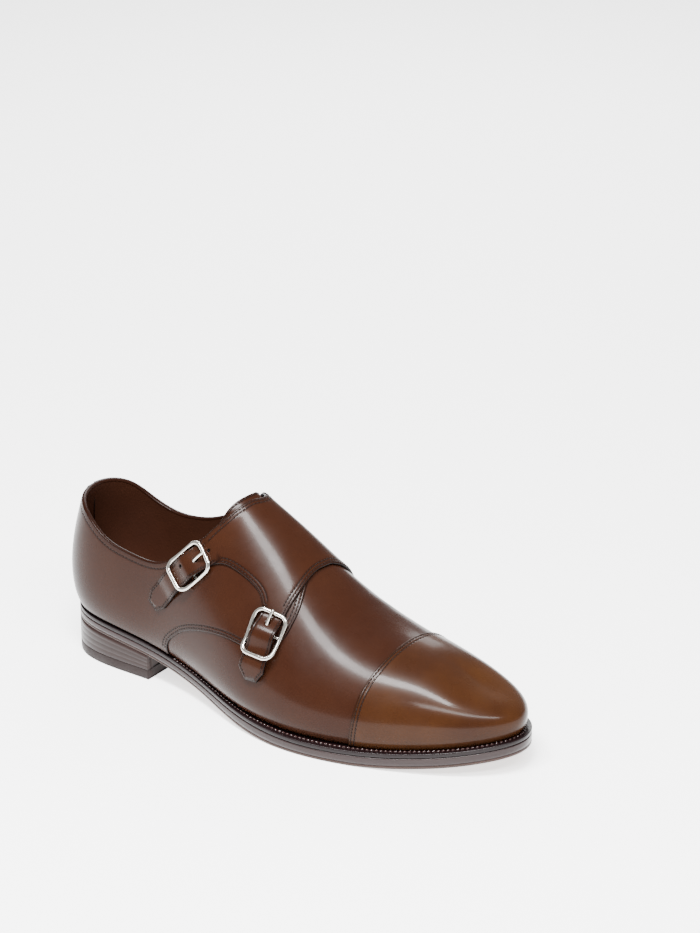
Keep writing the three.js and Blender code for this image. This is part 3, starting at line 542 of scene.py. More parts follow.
sock = leather(
    "sock",
    ((0.036, 0.0135, 0.007), (0.05, 0.02, 0.0105), (0.014, 0.006, 0.004), 0.5, 0.4),
    polish=(0.4, 0.55),
    grain=(1000.0, 0.6),
    bump=0.2,
    coat=0.0,
)
print("leathers:", [look.name for look in (calf, calf_toe, calf_strap, bound_edge, lining, sock)])

# %% [markdown]
# The sole's edge is leather too, but inked and ironed with hard wax until it is nearly black.
# The heel is a stack of such layers, so its colour changes a little from lift to lift: bands
# across the height do that. The welt, the underside and the rubber use the same group with
# colours of their own.

# %% Sole, heel and rubber
EDGE_WAX_ROUGHNESS = 0.2
EDGE_SPECULAR = 0.14
EDGE_RELIEF = 0.0003  # metres
FIBRE_SQUASH = (0.12, 0.12, 1.0)  # fibres run long and flat


def make_lift_group():
    tree, ends, out = new_group(
        "lifts",
        [
            ("Body", COLOUR, (0.03, 0.014, 0.014, 1)),
            ("Fibre", COLOUR, (0.06, 0.028, 0.024, 1)),
            ("Band Scale", FLOAT, 48.0),
            ("Amount", FLOAT, 0.6),
        ],
        [("Color", COLOUR)],
    )
    place = object_place(tree)
    squash = node(tree, "ShaderNodeMapping")
    squash.inputs["Scale"].default_value = FIBRE_SQUASH
    tree.links.new(place, squash.inputs["Vector"])
    fibres = node(tree, "ShaderNodeTexNoise", {"Scale": 900.0, "Detail": 4.0, "Roughness": 0.7})
    tree.links.new(squash.outputs["Vector"], fibres.inputs["Vector"])
    bands = node(tree, "ShaderNodeTexWave", {"Distortion": 1.5, "Detail": 1.0}, bands_direction="Z")
    tree.links.new(place, bands.inputs["Vector"])
    tree.links.new(ends.outputs["Band Scale"], bands.inputs["Scale"])
    both = node(tree, "ShaderNodeMath", operation="MULTIPLY")
    tree.links.new(fibres.outputs["Fac"], both.inputs[0])
    tree.links.new(bands.outputs["Fac"], both.inputs[1])
    amount = node(tree, "ShaderNodeMath", operation="MULTIPLY")
    tree.links.new(both.outputs[0], amount.inputs[0])
    tree.links.new(ends.outputs["Amount"], amount.inputs[1])
    mix = node(tree, "ShaderNodeMix", data_type="RGBA")
    tree.links.new(amount.outputs[0], mix.inputs[0])
    tree.links.new(ends.outputs["Body"], mix.inputs[6])
    tree.links.new(ends.outputs["Fibre"], mix.inputs[7])
    tree.links.new(mix.outputs[2], out.inputs["Color"])
    return tree


lift_group = make_lift_group()


def edge_wax(name, body, fibre, amount, polish, bump=0.05, coat=0.1):
    """Inked and waxed sole leather: two colours, how much they mix, then its shine."""
    made = bpy.data.materials.new(name)
    made.use_nodes = True
    tree = made.node_tree
    shader = tree.nodes["Principled BSDF"]
    colours = place_group(
        tree, lift_group, {"Body": (*body, 1), "Fibre": (*fibre, 1), "Amount": amount}
    )
    tree.links.new(colours.outputs["Color"], shader.inputs["Base Color"])
    shine = place_group(tree, polish_group, {"Smooth": polish[0], "Rough": polish[1]})
    tree.links.new(shine.outputs["Roughness"], shader.inputs["Roughness"])
    relief = node(tree, "ShaderNodeBump", {"Strength": bump, "Distance": EDGE_RELIEF})
    grain = place_group(tree, grain_group, {"Pore Scale": 480.0, "Wrinkle Scale": 420.0})
    tree.links.new(grain.outputs["Height"], relief.inputs["Height"])
    tree.links.new(relief.outputs["Normal"], shader.inputs["Normal"])
    shader.inputs["Coat Weight"].default_value = coat
    shader.inputs["Coat Roughness"].default_value = EDGE_WAX_ROUGHNESS
    shader.inputs["Specular IOR Level"].default_value = EDGE_SPECULAR
    return made


sole_edge = edge_wax(
    "sole_edge", (0.0165, 0.0092, 0.009), (0.026, 0.015, 0.0145), 0.5, (0.25, 0.4), coat=0.2
)
sole_lip = edge_wax("sole_lip", (0.03, 0.018, 0.015), (0.048, 0.028, 0.023), 0.5, (0.3, 0.45))
sole_under = edge_wax(
    "sole_under", (0.11, 0.052, 0.026), (0.16, 0.085, 0.045), 0.6, (0.3, 0.5), bump=0.15, coat=0.2
)
welt_top = edge_wax(
    "welt_top", (0.0045, 0.0018, 0.0022), (0.008, 0.0034, 0.0038), 0.5, (0.25, 0.4)
)
heel_side = edge_wax(
    "heel_side", (0.014, 0.0072, 0.0063), (0.021, 0.0112, 0.0098), 0.6, (0.25, 0.42)
)
rubber = edge_wax(
    "rubber", (0.014, 0.009, 0.0085), (0.022, 0.014, 0.013), 0.4, (0.4, 0.6), bump=0.25, coat=0.0
)
print("materials so far, with the packed model's:", len(bpy.data.materials))

# %% [markdown]
# Sewing thread is twisted from strands and pulled through wax. At this size a wave texture is
# enough for the twist: slanting bands that darken the colour and lift the surface a little. The
# thread on the welt is thicker and polished with it, so it gleams more.

# %% Thread
THREAD_RELIEF = 0.0002  # metres
STRAND_DARK, STRAND_LIGHT = 0.6, 1.25


def thread_of(name, colour, shine, gleam=0.1):
    """Waxed thread: its twist shows as fine slanting bands."""
    made = bpy.data.materials.new(name)
    made.use_nodes = True
    tree = made.node_tree
    shader = tree.nodes["Principled BSDF"]
    twist = node(
        tree,
        "ShaderNodeTexWave",
        {"Scale": 900.0, "Distortion": 2.0, "Detail": 1.0},
        bands_direction="DIAGONAL",
    )
    tree.links.new(object_place(tree), twist.inputs["Vector"])
    mix = node(tree, "ShaderNodeMix", data_type="RGBA")
    mix.inputs[6].default_value = (*[c * STRAND_DARK for c in colour], 1)
    mix.inputs[7].default_value = (*[c * STRAND_LIGHT for c in colour], 1)
    tree.links.new(twist.outputs["Fac"], mix.inputs[0])
    tree.links.new(mix.outputs[2], shader.inputs["Base Color"])
    shader.inputs["Roughness"].default_value = shine
    shader.inputs["Specular IOR Level"].default_value = gleam
    relief = node(tree, "ShaderNodeBump", {"Strength": 0.3, "Distance": THREAD_RELIEF})
    tree.links.new(twist.outputs["Fac"], relief.inputs["Height"])
    tree.links.new(relief.outputs["Normal"], shader.inputs["Normal"])
    return made


thread = thread_of("thread", (0.007, 0.0024, 0.0015), 0.45)
welt_thread = thread_of("welt_thread", (0.034, 0.015, 0.0135), 0.22, gleam=0.6)
print("threads:", thread.name, welt_thread.name)

# %% [markdown]
# Buckles are cast, plated with nickel and polished. A bare metallic shader looks like liquid,
# so the finish gets what handling gives it: very fine scratches in the roughness and a faint
# warm tint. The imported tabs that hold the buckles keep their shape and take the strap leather.

# %% Nickel
def make_nickel():
    made = bpy.data.materials.new("nickel")
    made.use_nodes = True
    tree = made.node_tree
    shader = tree.nodes["Principled BSDF"]
    place = object_place(tree)
    haze = node(tree, "ShaderNodeTexNoise", {"Scale": 160.0, "Detail": 4.0})
    tree.links.new(place, haze.inputs["Vector"])
    tint = node(tree, "ShaderNodeMix", data_type="RGBA")
    tint.inputs[6].default_value = (0.5, 0.47, 0.42, 1)
    tint.inputs[7].default_value = (0.62, 0.59, 0.54, 1)
    tree.links.new(haze.outputs["Fac"], tint.inputs[0])
    tree.links.new(tint.outputs[2], shader.inputs["Base Color"])
    scratch_place = node(tree, "ShaderNodeMapping")
    scratch_place.inputs["Scale"].default_value = (1.0, 14.0, 3.0)
    tree.links.new(place, scratch_place.inputs["Vector"])
    scratches = node(tree, "ShaderNodeTexNoise", {"Scale": 300.0, "Detail": 1.0})
    tree.links.new(scratch_place.outputs["Vector"], scratches.inputs["Vector"])
    wear = node(
        tree,
        "ShaderNodeMapRange",
        {"From Min": 0.4, "From Max": 0.75, "To Min": 0.1, "To Max": 0.24},
    )
    tree.links.new(scratches.outputs["Fac"], wear.inputs["Value"])
    tree.links.new(wear.outputs["Result"], shader.inputs["Roughness"])
    shader.inputs["Metallic"].default_value = 1.0
    return made


nickel = make_nickel()
print("materials in all, with the packed model's:", len(bpy.data.materials))

# %% [markdown]
# Making a piece always ends the same way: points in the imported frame, faces, a finish, the
# "edge" number, and a word on which solid it stands for. One helper does all of that.

# %% Pieces from points and faces
WELD = 2e-6  # metres; points closer than this become one
SLIVER = 1e-7


def finished(name, points, faces, material, stands_for=(), edge=None, merge=True):
    """A mesh object from points in millimetres; material is one or a list with face indices."""
    mesh = bpy.data.meshes.new(name)
    mesh.from_pydata([tuple(p) for p in metres(points)], [], faces)
    looks = material if isinstance(material, list) else [(material, None)]
    for look, _ in looks:
        mesh.materials.append(look)
    for i, (_, which) in enumerate(looks):
        if which is not None:
            for f in which:
                mesh.polygons[f].material_index = i
    rim = mesh.attributes.new("edge", "FLOAT", "POINT")
    values = np.zeros(len(points)) if edge is None else np.asarray(edge, float)
    rim.data.foreach_set("value", values.astype(np.float32))
    if merge:
        work = bmesh.new()
        work.from_mesh(mesh)
        bmesh.ops.remove_doubles(work, verts=work.verts, dist=WELD)
        bmesh.ops.dissolve_degenerate(work, edges=work.edges, dist=SLIVER)
        work.to_mesh(mesh)
        work.free()
    mesh.polygons.foreach_set("use_smooth", [True] * len(mesh.polygons))
    mesh.update()
    piece = bpy.data.objects.new(name, mesh)
    bpy.context.scene.collection.objects.link(piece)
    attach(piece, "root")
    if stands_for:
        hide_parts(*stands_for)
    size = [round(MM * d, 1) for d in piece.dimensions]
    print(name, "faces", len(mesh.polygons), "size mm", size)


def grid_faces(rows, cols, start=0, flip=False, closed=False):
    """Quads over rows x cols points numbered row by row."""
    faces = []
    span = cols if closed else cols - 1
    for i in range(rows - 1):
        for j in range(span):
            a = start + i * cols + j
            b = start + i * cols + (j + 1) % cols
            quad = [a, a + cols, b + cols, b]
            faces.append(quad[::-1] if flip else quad)
    return faces


print("faces of a 3 by 3 grid:", grid_faces(3, 3))

# %% [markdown]
# The upper's base is the vamp leather, pulled over the last and open at the ankle. It is made
# as a grid: columns round the last and rows from the sole up to the opening. A worn shoe
# creases across the ball; this one is new, so only two very soft troughs are set there.

# %% Edge of the opening
# ridge station, v on the outer side, v on the inner side
OPENING = [
    (42, 0.5, 0.5), (46, 0.468, 0.455), (51.5, 0.425, 0.39), (57, 0.388, 0.355),
    (68, 0.362, 0.35), (80, 0.365, 0.387), (91.5, 0.405, 0.45), (100, 0.475, 0.5),
    (108, 0.56, 0.545), (114, 0.625, 0.575), (124, 0.69, 0.64), (136, 0.755, 0.72),
    (146, 0.85, 0.84), (152, 1, 1),
]
opening = spline([r[0] for r in OPENING], [r[1:] for r in OPENING])
THROAT = 152.0
WALL = 1.8  # leather and lining together


def opening_v(u, side):
    station = ring(u)[..., STATION]
    v = opening(np.minimum(station, THROAT))[..., 0 if side < 0 else 1]
    return np.where(station >= THROAT, 1.0, np.clip(v, 0, 1))


# soft creases over the ball: station, how far down each side it reaches, depth, width
CREASES = [(187, 0.62, 0.16, 4.5), (198, 0.5, 0.12, 4.0)]


def crease(s, t):
    dip = np.zeros(np.broadcast(s, t).shape)
    for station, reach, depth, width in CREASES:
        across = np.exp(-(((s - station - 8 * t * t) / width) ** 2))
        dip -= depth * across * np.clip(1 - (np.abs(t) / reach) ** 2, 0, 1)
    return dip


def upper_columns(count):
    """u values on both sides whose ridge stations match, so the halves meet on the ridge."""
    outer = np.linspace(0, TIP, count)
    gaps = np.abs(outer - chart_u(THROAT, -1))
    outer[gaps.argmin()] = chart_u(THROAT, -1)
    inner = across_ridge(outer)
    inner[0], inner[-1] = 1.0, TIP
    return {-1: outer, 1: inner}


def upper_skin(name, depth, columns, levels, material, stands_for=(), shade=None, flip=False):
    """One skin of the upper, so deep inside the last, from the welt to the opening."""
    points, faces, rims = [], [], []
    for side, u in upper_columns(columns).items():
        top = opening_v(u, side)
        v = top[:, None] * levels[None, :]
        n = last_normal(u[:, None], v)
        s = ring(u)[:, STATION][:, None] + 0 * v
        h = -depth + (crease(s, 1 - v) if depth == 0 else 0 * v)
        p = last(u[:, None], v) + n * h[..., None]
        faces += grid_faces(len(u), len(levels), len(points), flip=(side < 0) == flip)
        points += list(p.reshape(-1, 3))
        rims += list((np.exp(-v / 0.02) if shade is None else shade(s, v)).ravel())
    finished(name, points, faces, material, stands_for, rims)


even = np.linspace(0, 1, 61)
upper_skin("vamp", 0.0, 300, even, calf, ("upper",))

# %% [markdown]
# Inside, the lining is a second skin 1.8 mm in, and the opening's edge is bound: a thin dark
# strip is folded over it. The binding is a rounded strip swept along the opening, so the collar
# reads as one soft, closed edge from every side.

# %% Lining and collar binding
upper_skin(
    "lining_leather",
    WALL,
    240,
    even[::2],
    lining,
    # painted shade deep in the lining, darker towards the sock
    shade=lambda s, v: 0.6 * np.exp(-v / 0.1),
    flip=True,
)
QUARTER = 1.0  # thickness of the quarters over the vamp
PIECE = 1.7  # and of the inner quarter with its flap and straps
BOUND_HALF = 0.5 * (WALL + QUARTER) + 0.1
BOUND_OVER = 1.1  # how far the binding reaches over the edge
BOUND_DROP = 0.5  # and how far its middle lies below it
BOUND_SIDES = 14
BOUND_SHADE = 0.35


def collar_path():
    """u and v along the opening, from the outer throat round the heel to the inner throat."""
    outer = np.linspace(chart_u(118.0, -1), 0.0, 150)
    inner = np.linspace(1.0, chart_u(112.0, 1), 130)
    u = np.concatenate([outer, inner])
    v = np.concatenate([opening_v(outer, -1), opening_v(inner, 1)])
    return u, v


def band(centre, across, over, profile):
    """A strip swept along centre; profile pairs are shares of the two directions."""
    rows = [centre + across * a + over * b for a, b in profile]
    return np.stack(rows, 1)


collar_u, collar_v = collar_path()
collar_edge = last(collar_u, collar_v)
collar_n = last_normal(collar_u, collar_v)
collar_run = np.gradient(collar_edge, axis=0)
collar_run /= np.linalg.norm(collar_run, axis=1, keepdims=True)
collar_over = np.cross(collar_n, collar_run)
collar_over *= np.sign(collar_over[:, 2].mean())
angles = np.linspace(0, 2 * math.pi, BOUND_SIDES + 1)[:-1]
round_profile = [
    (math.cos(a) * BOUND_HALF, math.sin(a) * BOUND_OVER - BOUND_DROP) for a in angles
]
binding_points = band(
    collar_edge + collar_n * (QUARTER - WALL) / 2, collar_n, collar_over, round_profile
)
binding_count = len(collar_u) * BOUND_SIDES
binding_faces = grid_faces(len(collar_u), BOUND_SIDES, closed=True)
binding_faces.append(list(range(BOUND_SIDES)))
binding_faces.append(list(range(binding_count - BOUND_SIDES, binding_count))[::-1])
finished(
    "collar_binding",
    binding_points.reshape(-1, 3),
    binding_faces,
    bound_edge,
    edge=np.full(binding_count, BOUND_SHADE),
)

# %% [markdown]
# Pattern pieces have any outline, so a grid won't do for them. Each is drawn as a closed line
# on the chart, made of smooth runs through a few points, as a pattern is drawn on paper. The
# chart stretches, so steps into a piece are worked out in real millimetres on the last.

# %% Outlines on the chart
CHART_T = 105.0  # t to millimetres, about, so that the net is even
RUN_STEP = 1.0  # between points of an outline
SAME_POINT = 0.35  # points of an outline closer than this are one


def ease(x, low, high):
    """0 below low, 1 above high and a smooth step between them."""
    k = np.clip((x - low) / (high - low), 0, 1)
    return k * k * (3 - 2 * k)


def smooth_run(rows):
    """Chart points along a smooth line through the rows, about RUN_STEP apart."""
    rows = np.array(rows, float)
    place = on_last(rows[:, 0], rows[:, 1])[0]
    knots = np.concatenate([[0], np.cumsum(np.linalg.norm(np.diff(place, axis=0), axis=1))])
    line = spline(knots, rows)
    return line(np.linspace(0, knots[-1], max(2, int(knots[-1] / RUN_STEP) + 1)))


def outline_of(*runs):
    """One closed line from runs of chart points, with repeated points taken out."""
    points = np.concatenate(runs)
    place = on_last(points[:, 0], points[:, 1])[0]
    far = np.linalg.norm(place - np.roll(place, 1, 0), axis=1) > SAME_POINT
    return points[far]


def inward(loop, smooth=1):
    """Chart steps that lead 1 mm into the piece from each point of its outline."""
    s, t = loop.T
    p, n = on_last(s, t)
    run = np.roll(p, -smooth, 0) - np.roll(p, smooth, 0)
    run /= np.linalg.norm(run, axis=1, keepdims=True)
    into = np.cross(n, run)
    by_s = (on_last(s + 0.3, t)[0] - p) / 0.3
    nudge = 0.002 * np.where(t < 0.5, 1, -1)
    by_t = (on_last(s, t + nudge)[0] - p) / nudge[:, None]
    ss, st, tt = (by_s * by_s).sum(1), (by_s * by_t).sum(1), (by_t * by_t).sum(1)
    rs, rt = (by_s * into).sum(1), (by_t * into).sum(1)
    det = ss * tt - st * st
    return np.stack([(rs * tt - rt * st) / det, (rt * ss - rs * st) / det], 1)


def turned_left(loop):
    """Whether the outline runs anticlockwise on the chart."""
    x, y = loop[:, 0], loop[:, 1]
    return (x * np.roll(y, -1) - np.roll(x, -1) * y).sum() > 0


def inside(loop, points):
    """Which chart points lie within the outline."""
    x, y = points.T
    hit = np.zeros(len(points), bool)
    for (x1, y1), (x2, y2) in zip(loop, np.roll(loop, -1, 0)):
        if y1 == y2:
            continue
        crosses = (y1 > y) != (y2 > y)
        hit ^= crosses & (x < (x2 - x1) * (y - y1) / (y2 - y1) + x1)
    return hit


def nearest(points, line):
    """Distance from each point to the nearest point of the line."""
    best = np.full(len(points), 1e9)
    for start in range(0, len(points), 2000):
        part = points[start : start + 2000]
        gap = ((part[:, None, :] - line[None, :, :]) ** 2).sum(2).min(1)
        best[start : start + 2000] = np.sqrt(gap)
    return best


test_run = smooth_run([(120, -0.3), (140, -0.3)])
print("a run of", len(test_run), "points from", test_run[0], "to", test_run[-1])

# %% [markdown]
# A seam has two rows of stitches beside its edge, and each row pulls the leather down into a
# faint groove, painted darker as the shade in it. So a piece needs to know, for any point, how far
# the edge is, whether the welt is near, where nothing is sewn, and whether the collar's binding is.

# %% Where the rows of stitches run
ROUND = 0.7  # radius of a skived edge
SEAM_NEAR = 1.5  # the two rows of stitches, from the edge
SEAM_FAR = 3.3
GROOVE = 0.13  # how far a row pulls the leather down
ROW_HALF = 0.4  # half the width of that groove
ROW_SHADE = 0.85  # and how dark the painted shade in it is
ROWS_INSIDE = (0.12, 0.35, 0.7, 1.1, 1.5, 1.9, 2.4, 2.9, 3.3, 3.7, 4.3)
FOOT_T = 0.985  # pieces stop just above the welt
foot_edge = last(np.linspace(0, 1, 500), 1 - FOOT_T)


def off_foot(p):
    """0 close to the welt, where no row is sewn."""
    return ease(nearest(p, foot_edge), 4.2, 5.0)


def at_collar(p):
    """1 close to the opening, where only the row clear of the binding is sewn."""
    return 1 - ease(nearest(p, collar_edge), 4.6, 5.4)


def seam_pull(away):
    """1 in the middle of a row of stitches, 0 between the rows."""
    near = np.exp(-(((away - SEAM_NEAR) / ROW_HALF) ** 2))
    far = np.exp(-(((away - SEAM_FAR) / ROW_HALF) ** 2))
    return near, far


print("rows of points inside an edge, mm:", ROWS_INSIDE)
print("points along the foot and the collar:", len(foot_edge), len(collar_edge))

# %% [markdown]
# The outline is filled with a fine net of triangles by a Delaunay triangulation and lifted off
# the last. Rows of points just inside the outline carry its rounded, skived edge and the
# grooves, with painted shade in the grooves. Where a strap bends over its buckle the net is
# finer, and a hole is rings of points pressed down and painted dark as its shade, which costs
# less than cutting the sheet. The underside is painted in shade too.

# %% Pieces cut to an outline
RIM_REACH = 0.8  # how far the dark of a cut edge reaches in
# painted shade on the underside of every cut piece
UNDER_SHADE = 0.9
ROW_KEPT = 0.93  # a row's point stays if it really lies this share of its depth inside
NET_ROW = 0.87  # height of an even triangle over its side
NET_CLEAR = 0.6  # between the rows and the even net
PATCH_STEP = 0.8  # the net where a piece bends most
PATCH_CLEAR = 0.45
HOLE_RINGS = (0.45, 0.8, 1.0, 1.25, 1.7)  # circles of points round a hole, in radii
HOLE_DEPTH = 1.25


def net_inside(loop, rim3d, step, holes, fine):
    """Chart points for the net: rows along the rim, an even net, finer patches, holes."""
    step_in = inward(loop)
    found = [loop]
    for depth in ROWS_INSIDE:
        row = loop + step_in * depth
        away = nearest(on_last(*row.T)[0], rim3d)
        found.append(row[(away > ROW_KEPT * depth - 0.02) & inside(loop, row)])
    low, high = loop.min(0), loop.max(0)
    rows = []
    for k, t in enumerate(np.arange(low[1], high[1], step * NET_ROW / CHART_T)):
        s = np.arange(low[0] + (k % 2) * step / 2, high[0], step)
        rows.append(np.stack([s, np.full(len(s), t)], 1))
    net = np.concatenate(rows)
    net = net[inside(loop, net)]
    net3d = on_last(*net.T)[0]
    keep = nearest(net3d, rim3d) > ROWS_INSIDE[-1] + NET_CLEAR
    for centre, reach in fine:
        keep &= np.linalg.norm(net3d - centre, axis=1) > reach
    found.append(net[keep])
    for centre, reach in fine:
        home = net[np.linalg.norm(net3d - centre, axis=1).argmin()]
        span = np.arange(-1.4 * reach, 1.4 * reach, PATCH_STEP)
        dense = np.stack(np.meshgrid(span, span), -1).reshape(-1, 2)
        dense = home + dense * (1, 1 / CHART_T)
        dense = dense[inside(loop, dense)]
        dense3d = on_last(*dense.T)[0]
        within = np.linalg.norm(dense3d - centre, axis=1) < reach
        found.append(dense[(nearest(dense3d, rim3d) > PATCH_CLEAR) & within])
    for s, t, radius in holes:
        for k, share in enumerate(HOLE_RINGS):
            turn_at = np.linspace(0, 2 * math.pi, 17)[:-1] + 0.2 * k
            local_t = radius * share / CHART_T
            around_s = s + radius * share * np.cos(turn_at)
            found.append(np.stack([around_s, t + local_t * np.sin(turn_at)], 1))
    return np.concatenate(found)


def cut_piece(
    name, loop, top, bottom, material, two_rows, stands_for=(), step=1.7, holes=(),
    rise=None, fine=(),
):
    """A leather sheet with this outline, between two heights above the last."""
    if not turned_left(loop):
        loop = loop[::-1]
    rim3d = on_last(*loop.T)[0]
    points = net_inside(loop, rim3d, step, holes, fine)
    flat = [Vector((s, t * CHART_T)) for s, t in points]
    cut = delaunay_2d_cdt(flat, [], [list(range(len(loop)))], 1, 1e-5)
    points = np.array([[v.x, v.y / CHART_T] for v in cut[0]])
    faces = [list(f) for f in cut[2]]
    p, n = on_last(*points.T)
    away = nearest(p, rim3d)
    tip = np.clip(1 - away / ROUND, 0, 1)
    lift = np.zeros(len(points)) if rise is None else rise(p)
    top_h = (top(points) if callable(top) else top) + 0 * away
    low_h = (bottom(points) if callable(bottom) else bottom) + 0 * away
    h = top_h - ROUND * (1 - np.sqrt(np.clip(1 - tip**2, 0, 1)))
    near_row, far_row = seam_pull(away)
    collar = at_collar(p)
    near_row = near_row * (1 - collar) * off_foot(p)
    far_row = far_row * np.maximum(two_rows(p), collar) * off_foot(p)
    h -= GROOVE * np.maximum(near_row, far_row)
    # dark of the dyed cut edge, and painted shade in the grooves of the rows
    rim = np.maximum(np.exp(-away / RIM_REACH), ROW_SHADE * np.maximum(near_row, far_row))
    for s, t, radius in holes:
        centre = on_last(np.array([s]), np.array([t]))[0]
        off = np.linalg.norm(p - centre, axis=1) / radius
        well = np.clip((1.25 - off) / 0.45, 0, 1)
        h -= HOLE_DEPTH * well * well * (3 - 2 * well)
        # painted shade in and round the hole
        rim = np.maximum(rim, np.clip((1.5 - off) / 0.4, 0, 1))
    upper_side = p + n * (h + lift)[:, None]
    under_side = p + n * (low_h + lift)[:, None]
    count = len(points)
    ids = [int(np.abs(points - q).sum(1).argmin()) for q in loop]
    all_faces = faces + [[count + i for i in reversed(f)] for f in faces]
    for a, b in zip(ids, ids[1:] + ids[:1]):
        if a != b:
            all_faces.append([b, a, count + a, count + b])
    both = np.concatenate([upper_side, under_side])
    shade = np.concatenate([rim, np.full(count, UNDER_SHADE)])
    finished(name, both, all_faces, material, stands_for, shade, merge=False)


print("net where a strap bends, mm:", PATCH_STEP, "and circles round a hole:", len(HOLE_RINGS))

# %% [markdown]
# The outer quarter is one piece from the back seam to the front of the flap. Its lower edge
# hooks up from the waist and runs forward under the front strap; its front edge shows just
# ahead of the flap. It is cut, folded, and sewn down with two rows.

# %% Outer quarter
QUARTER_SEAM = [
    (92.6, -0.985), (93.6, -0.915), (99.0, -0.828), (109.6, -0.755), (120.6, -0.705),
    (134.1, -0.655), (144.8, -0.625), (151.9, -0.61), (161, -0.575), (168.5, -0.52),
    (172.8, -0.45), (173.8, -0.38), (173.8, -0.31), (172.2, -0.24), (169.8, -0.17), (166.5, -0.1),
]


def collar_run_of(side, start_station):
    """Chart line along the opening from the back seam to a station."""
    u = np.linspace(0.0 if side < 0 else 1.0, chart_u(start_station, side), 110)
    counts, us = charts[side]
    order = np.argsort(us)
    s = np.interp(u, us[order], counts[order])
    return np.stack([s, side * (1 - opening_v(u, side))], 1)


def foot_run(side, station):
    """Chart line just above the welt from the back seam to a station."""
    s = np.arange(charts[side][0][0], station, RUN_STEP)
    return np.stack([s, np.full(len(s), side * FOOT_T)], 1)


outer_collar = collar_run_of(-1, 106.0)
outer_seam = smooth_run(QUARTER_SEAM)
outer_throat = smooth_run(
    [tuple(outer_collar[-1]), (118, -0.33), (132, -0.24), (150, -0.16), (166.5, -0.1)]
)
outer_loop = outline_of(outer_collar, outer_throat, outer_seam[::-1], foot_run(-1, 92.0)[::-1])


BED = 0.05  # a piece's underside above what it lies on
TWO_ROWS_FROM = 60  # x ahead of which the seams have two rows


def two_on_quarter(p):
    return ((p[:, 0] > TWO_ROWS_FROM) & (p[:, 2] > 24)).astype(float)


cut_piece("quarter_outer", outer_loop, QUARTER, BED, calf, two_rows=two_on_quarter)

# %% [markdown]
# The inner quarter carries on over the instep as the flap and ends in the two straps: one
# piece of leather from the back seam to the strap tips. Its straps follow middle lines on the
# chart. Distances along and across a strap are turned into chart places by a few steps of
# Newton's method, because the chart stretches.

# %% Straps
STRAPS = {
    "rear": {
        "bar": 24.5,
        "end": 65.0,
        "line": [
            (124, -0.345), (116.5, -0.431), (107, -0.5435), (100.5, -0.6135),
            (94, -0.68), (86.5, -0.755), (80, -0.82),
        ],
        "half": [(-34, 6.9), (-12, 7.1), (0, 7.3), (16, 7.8)],
    },
    "front": {
        "bar": 28.5,
        "end": 55.5,
        "line": [
            (165.5, -0.27), (164, -0.37), (163.3, -0.46), (163, -0.546),
            (162.2, -0.62), (161.8, -0.68), (162, -0.76),
        ],
        "half": [(-22, 8.4), (-12, 7.5), (0, 7.0), (18, 6.7)],
    },
}
TIP_HALF = 3.9  # half the width of a strap's blunt tip
TIP_LENGTH = 6.5
BAR_HEIGHT = 2.6  # axis of the centre bar above the last
HUMP = 3.95  # rise of the strap over the bar
HUMP_REACH = 12.0
TAIL_LIFT = 1.9  # and over the tab's tail
TAIL_END = -17.0
NEWTON_STEPS = 5


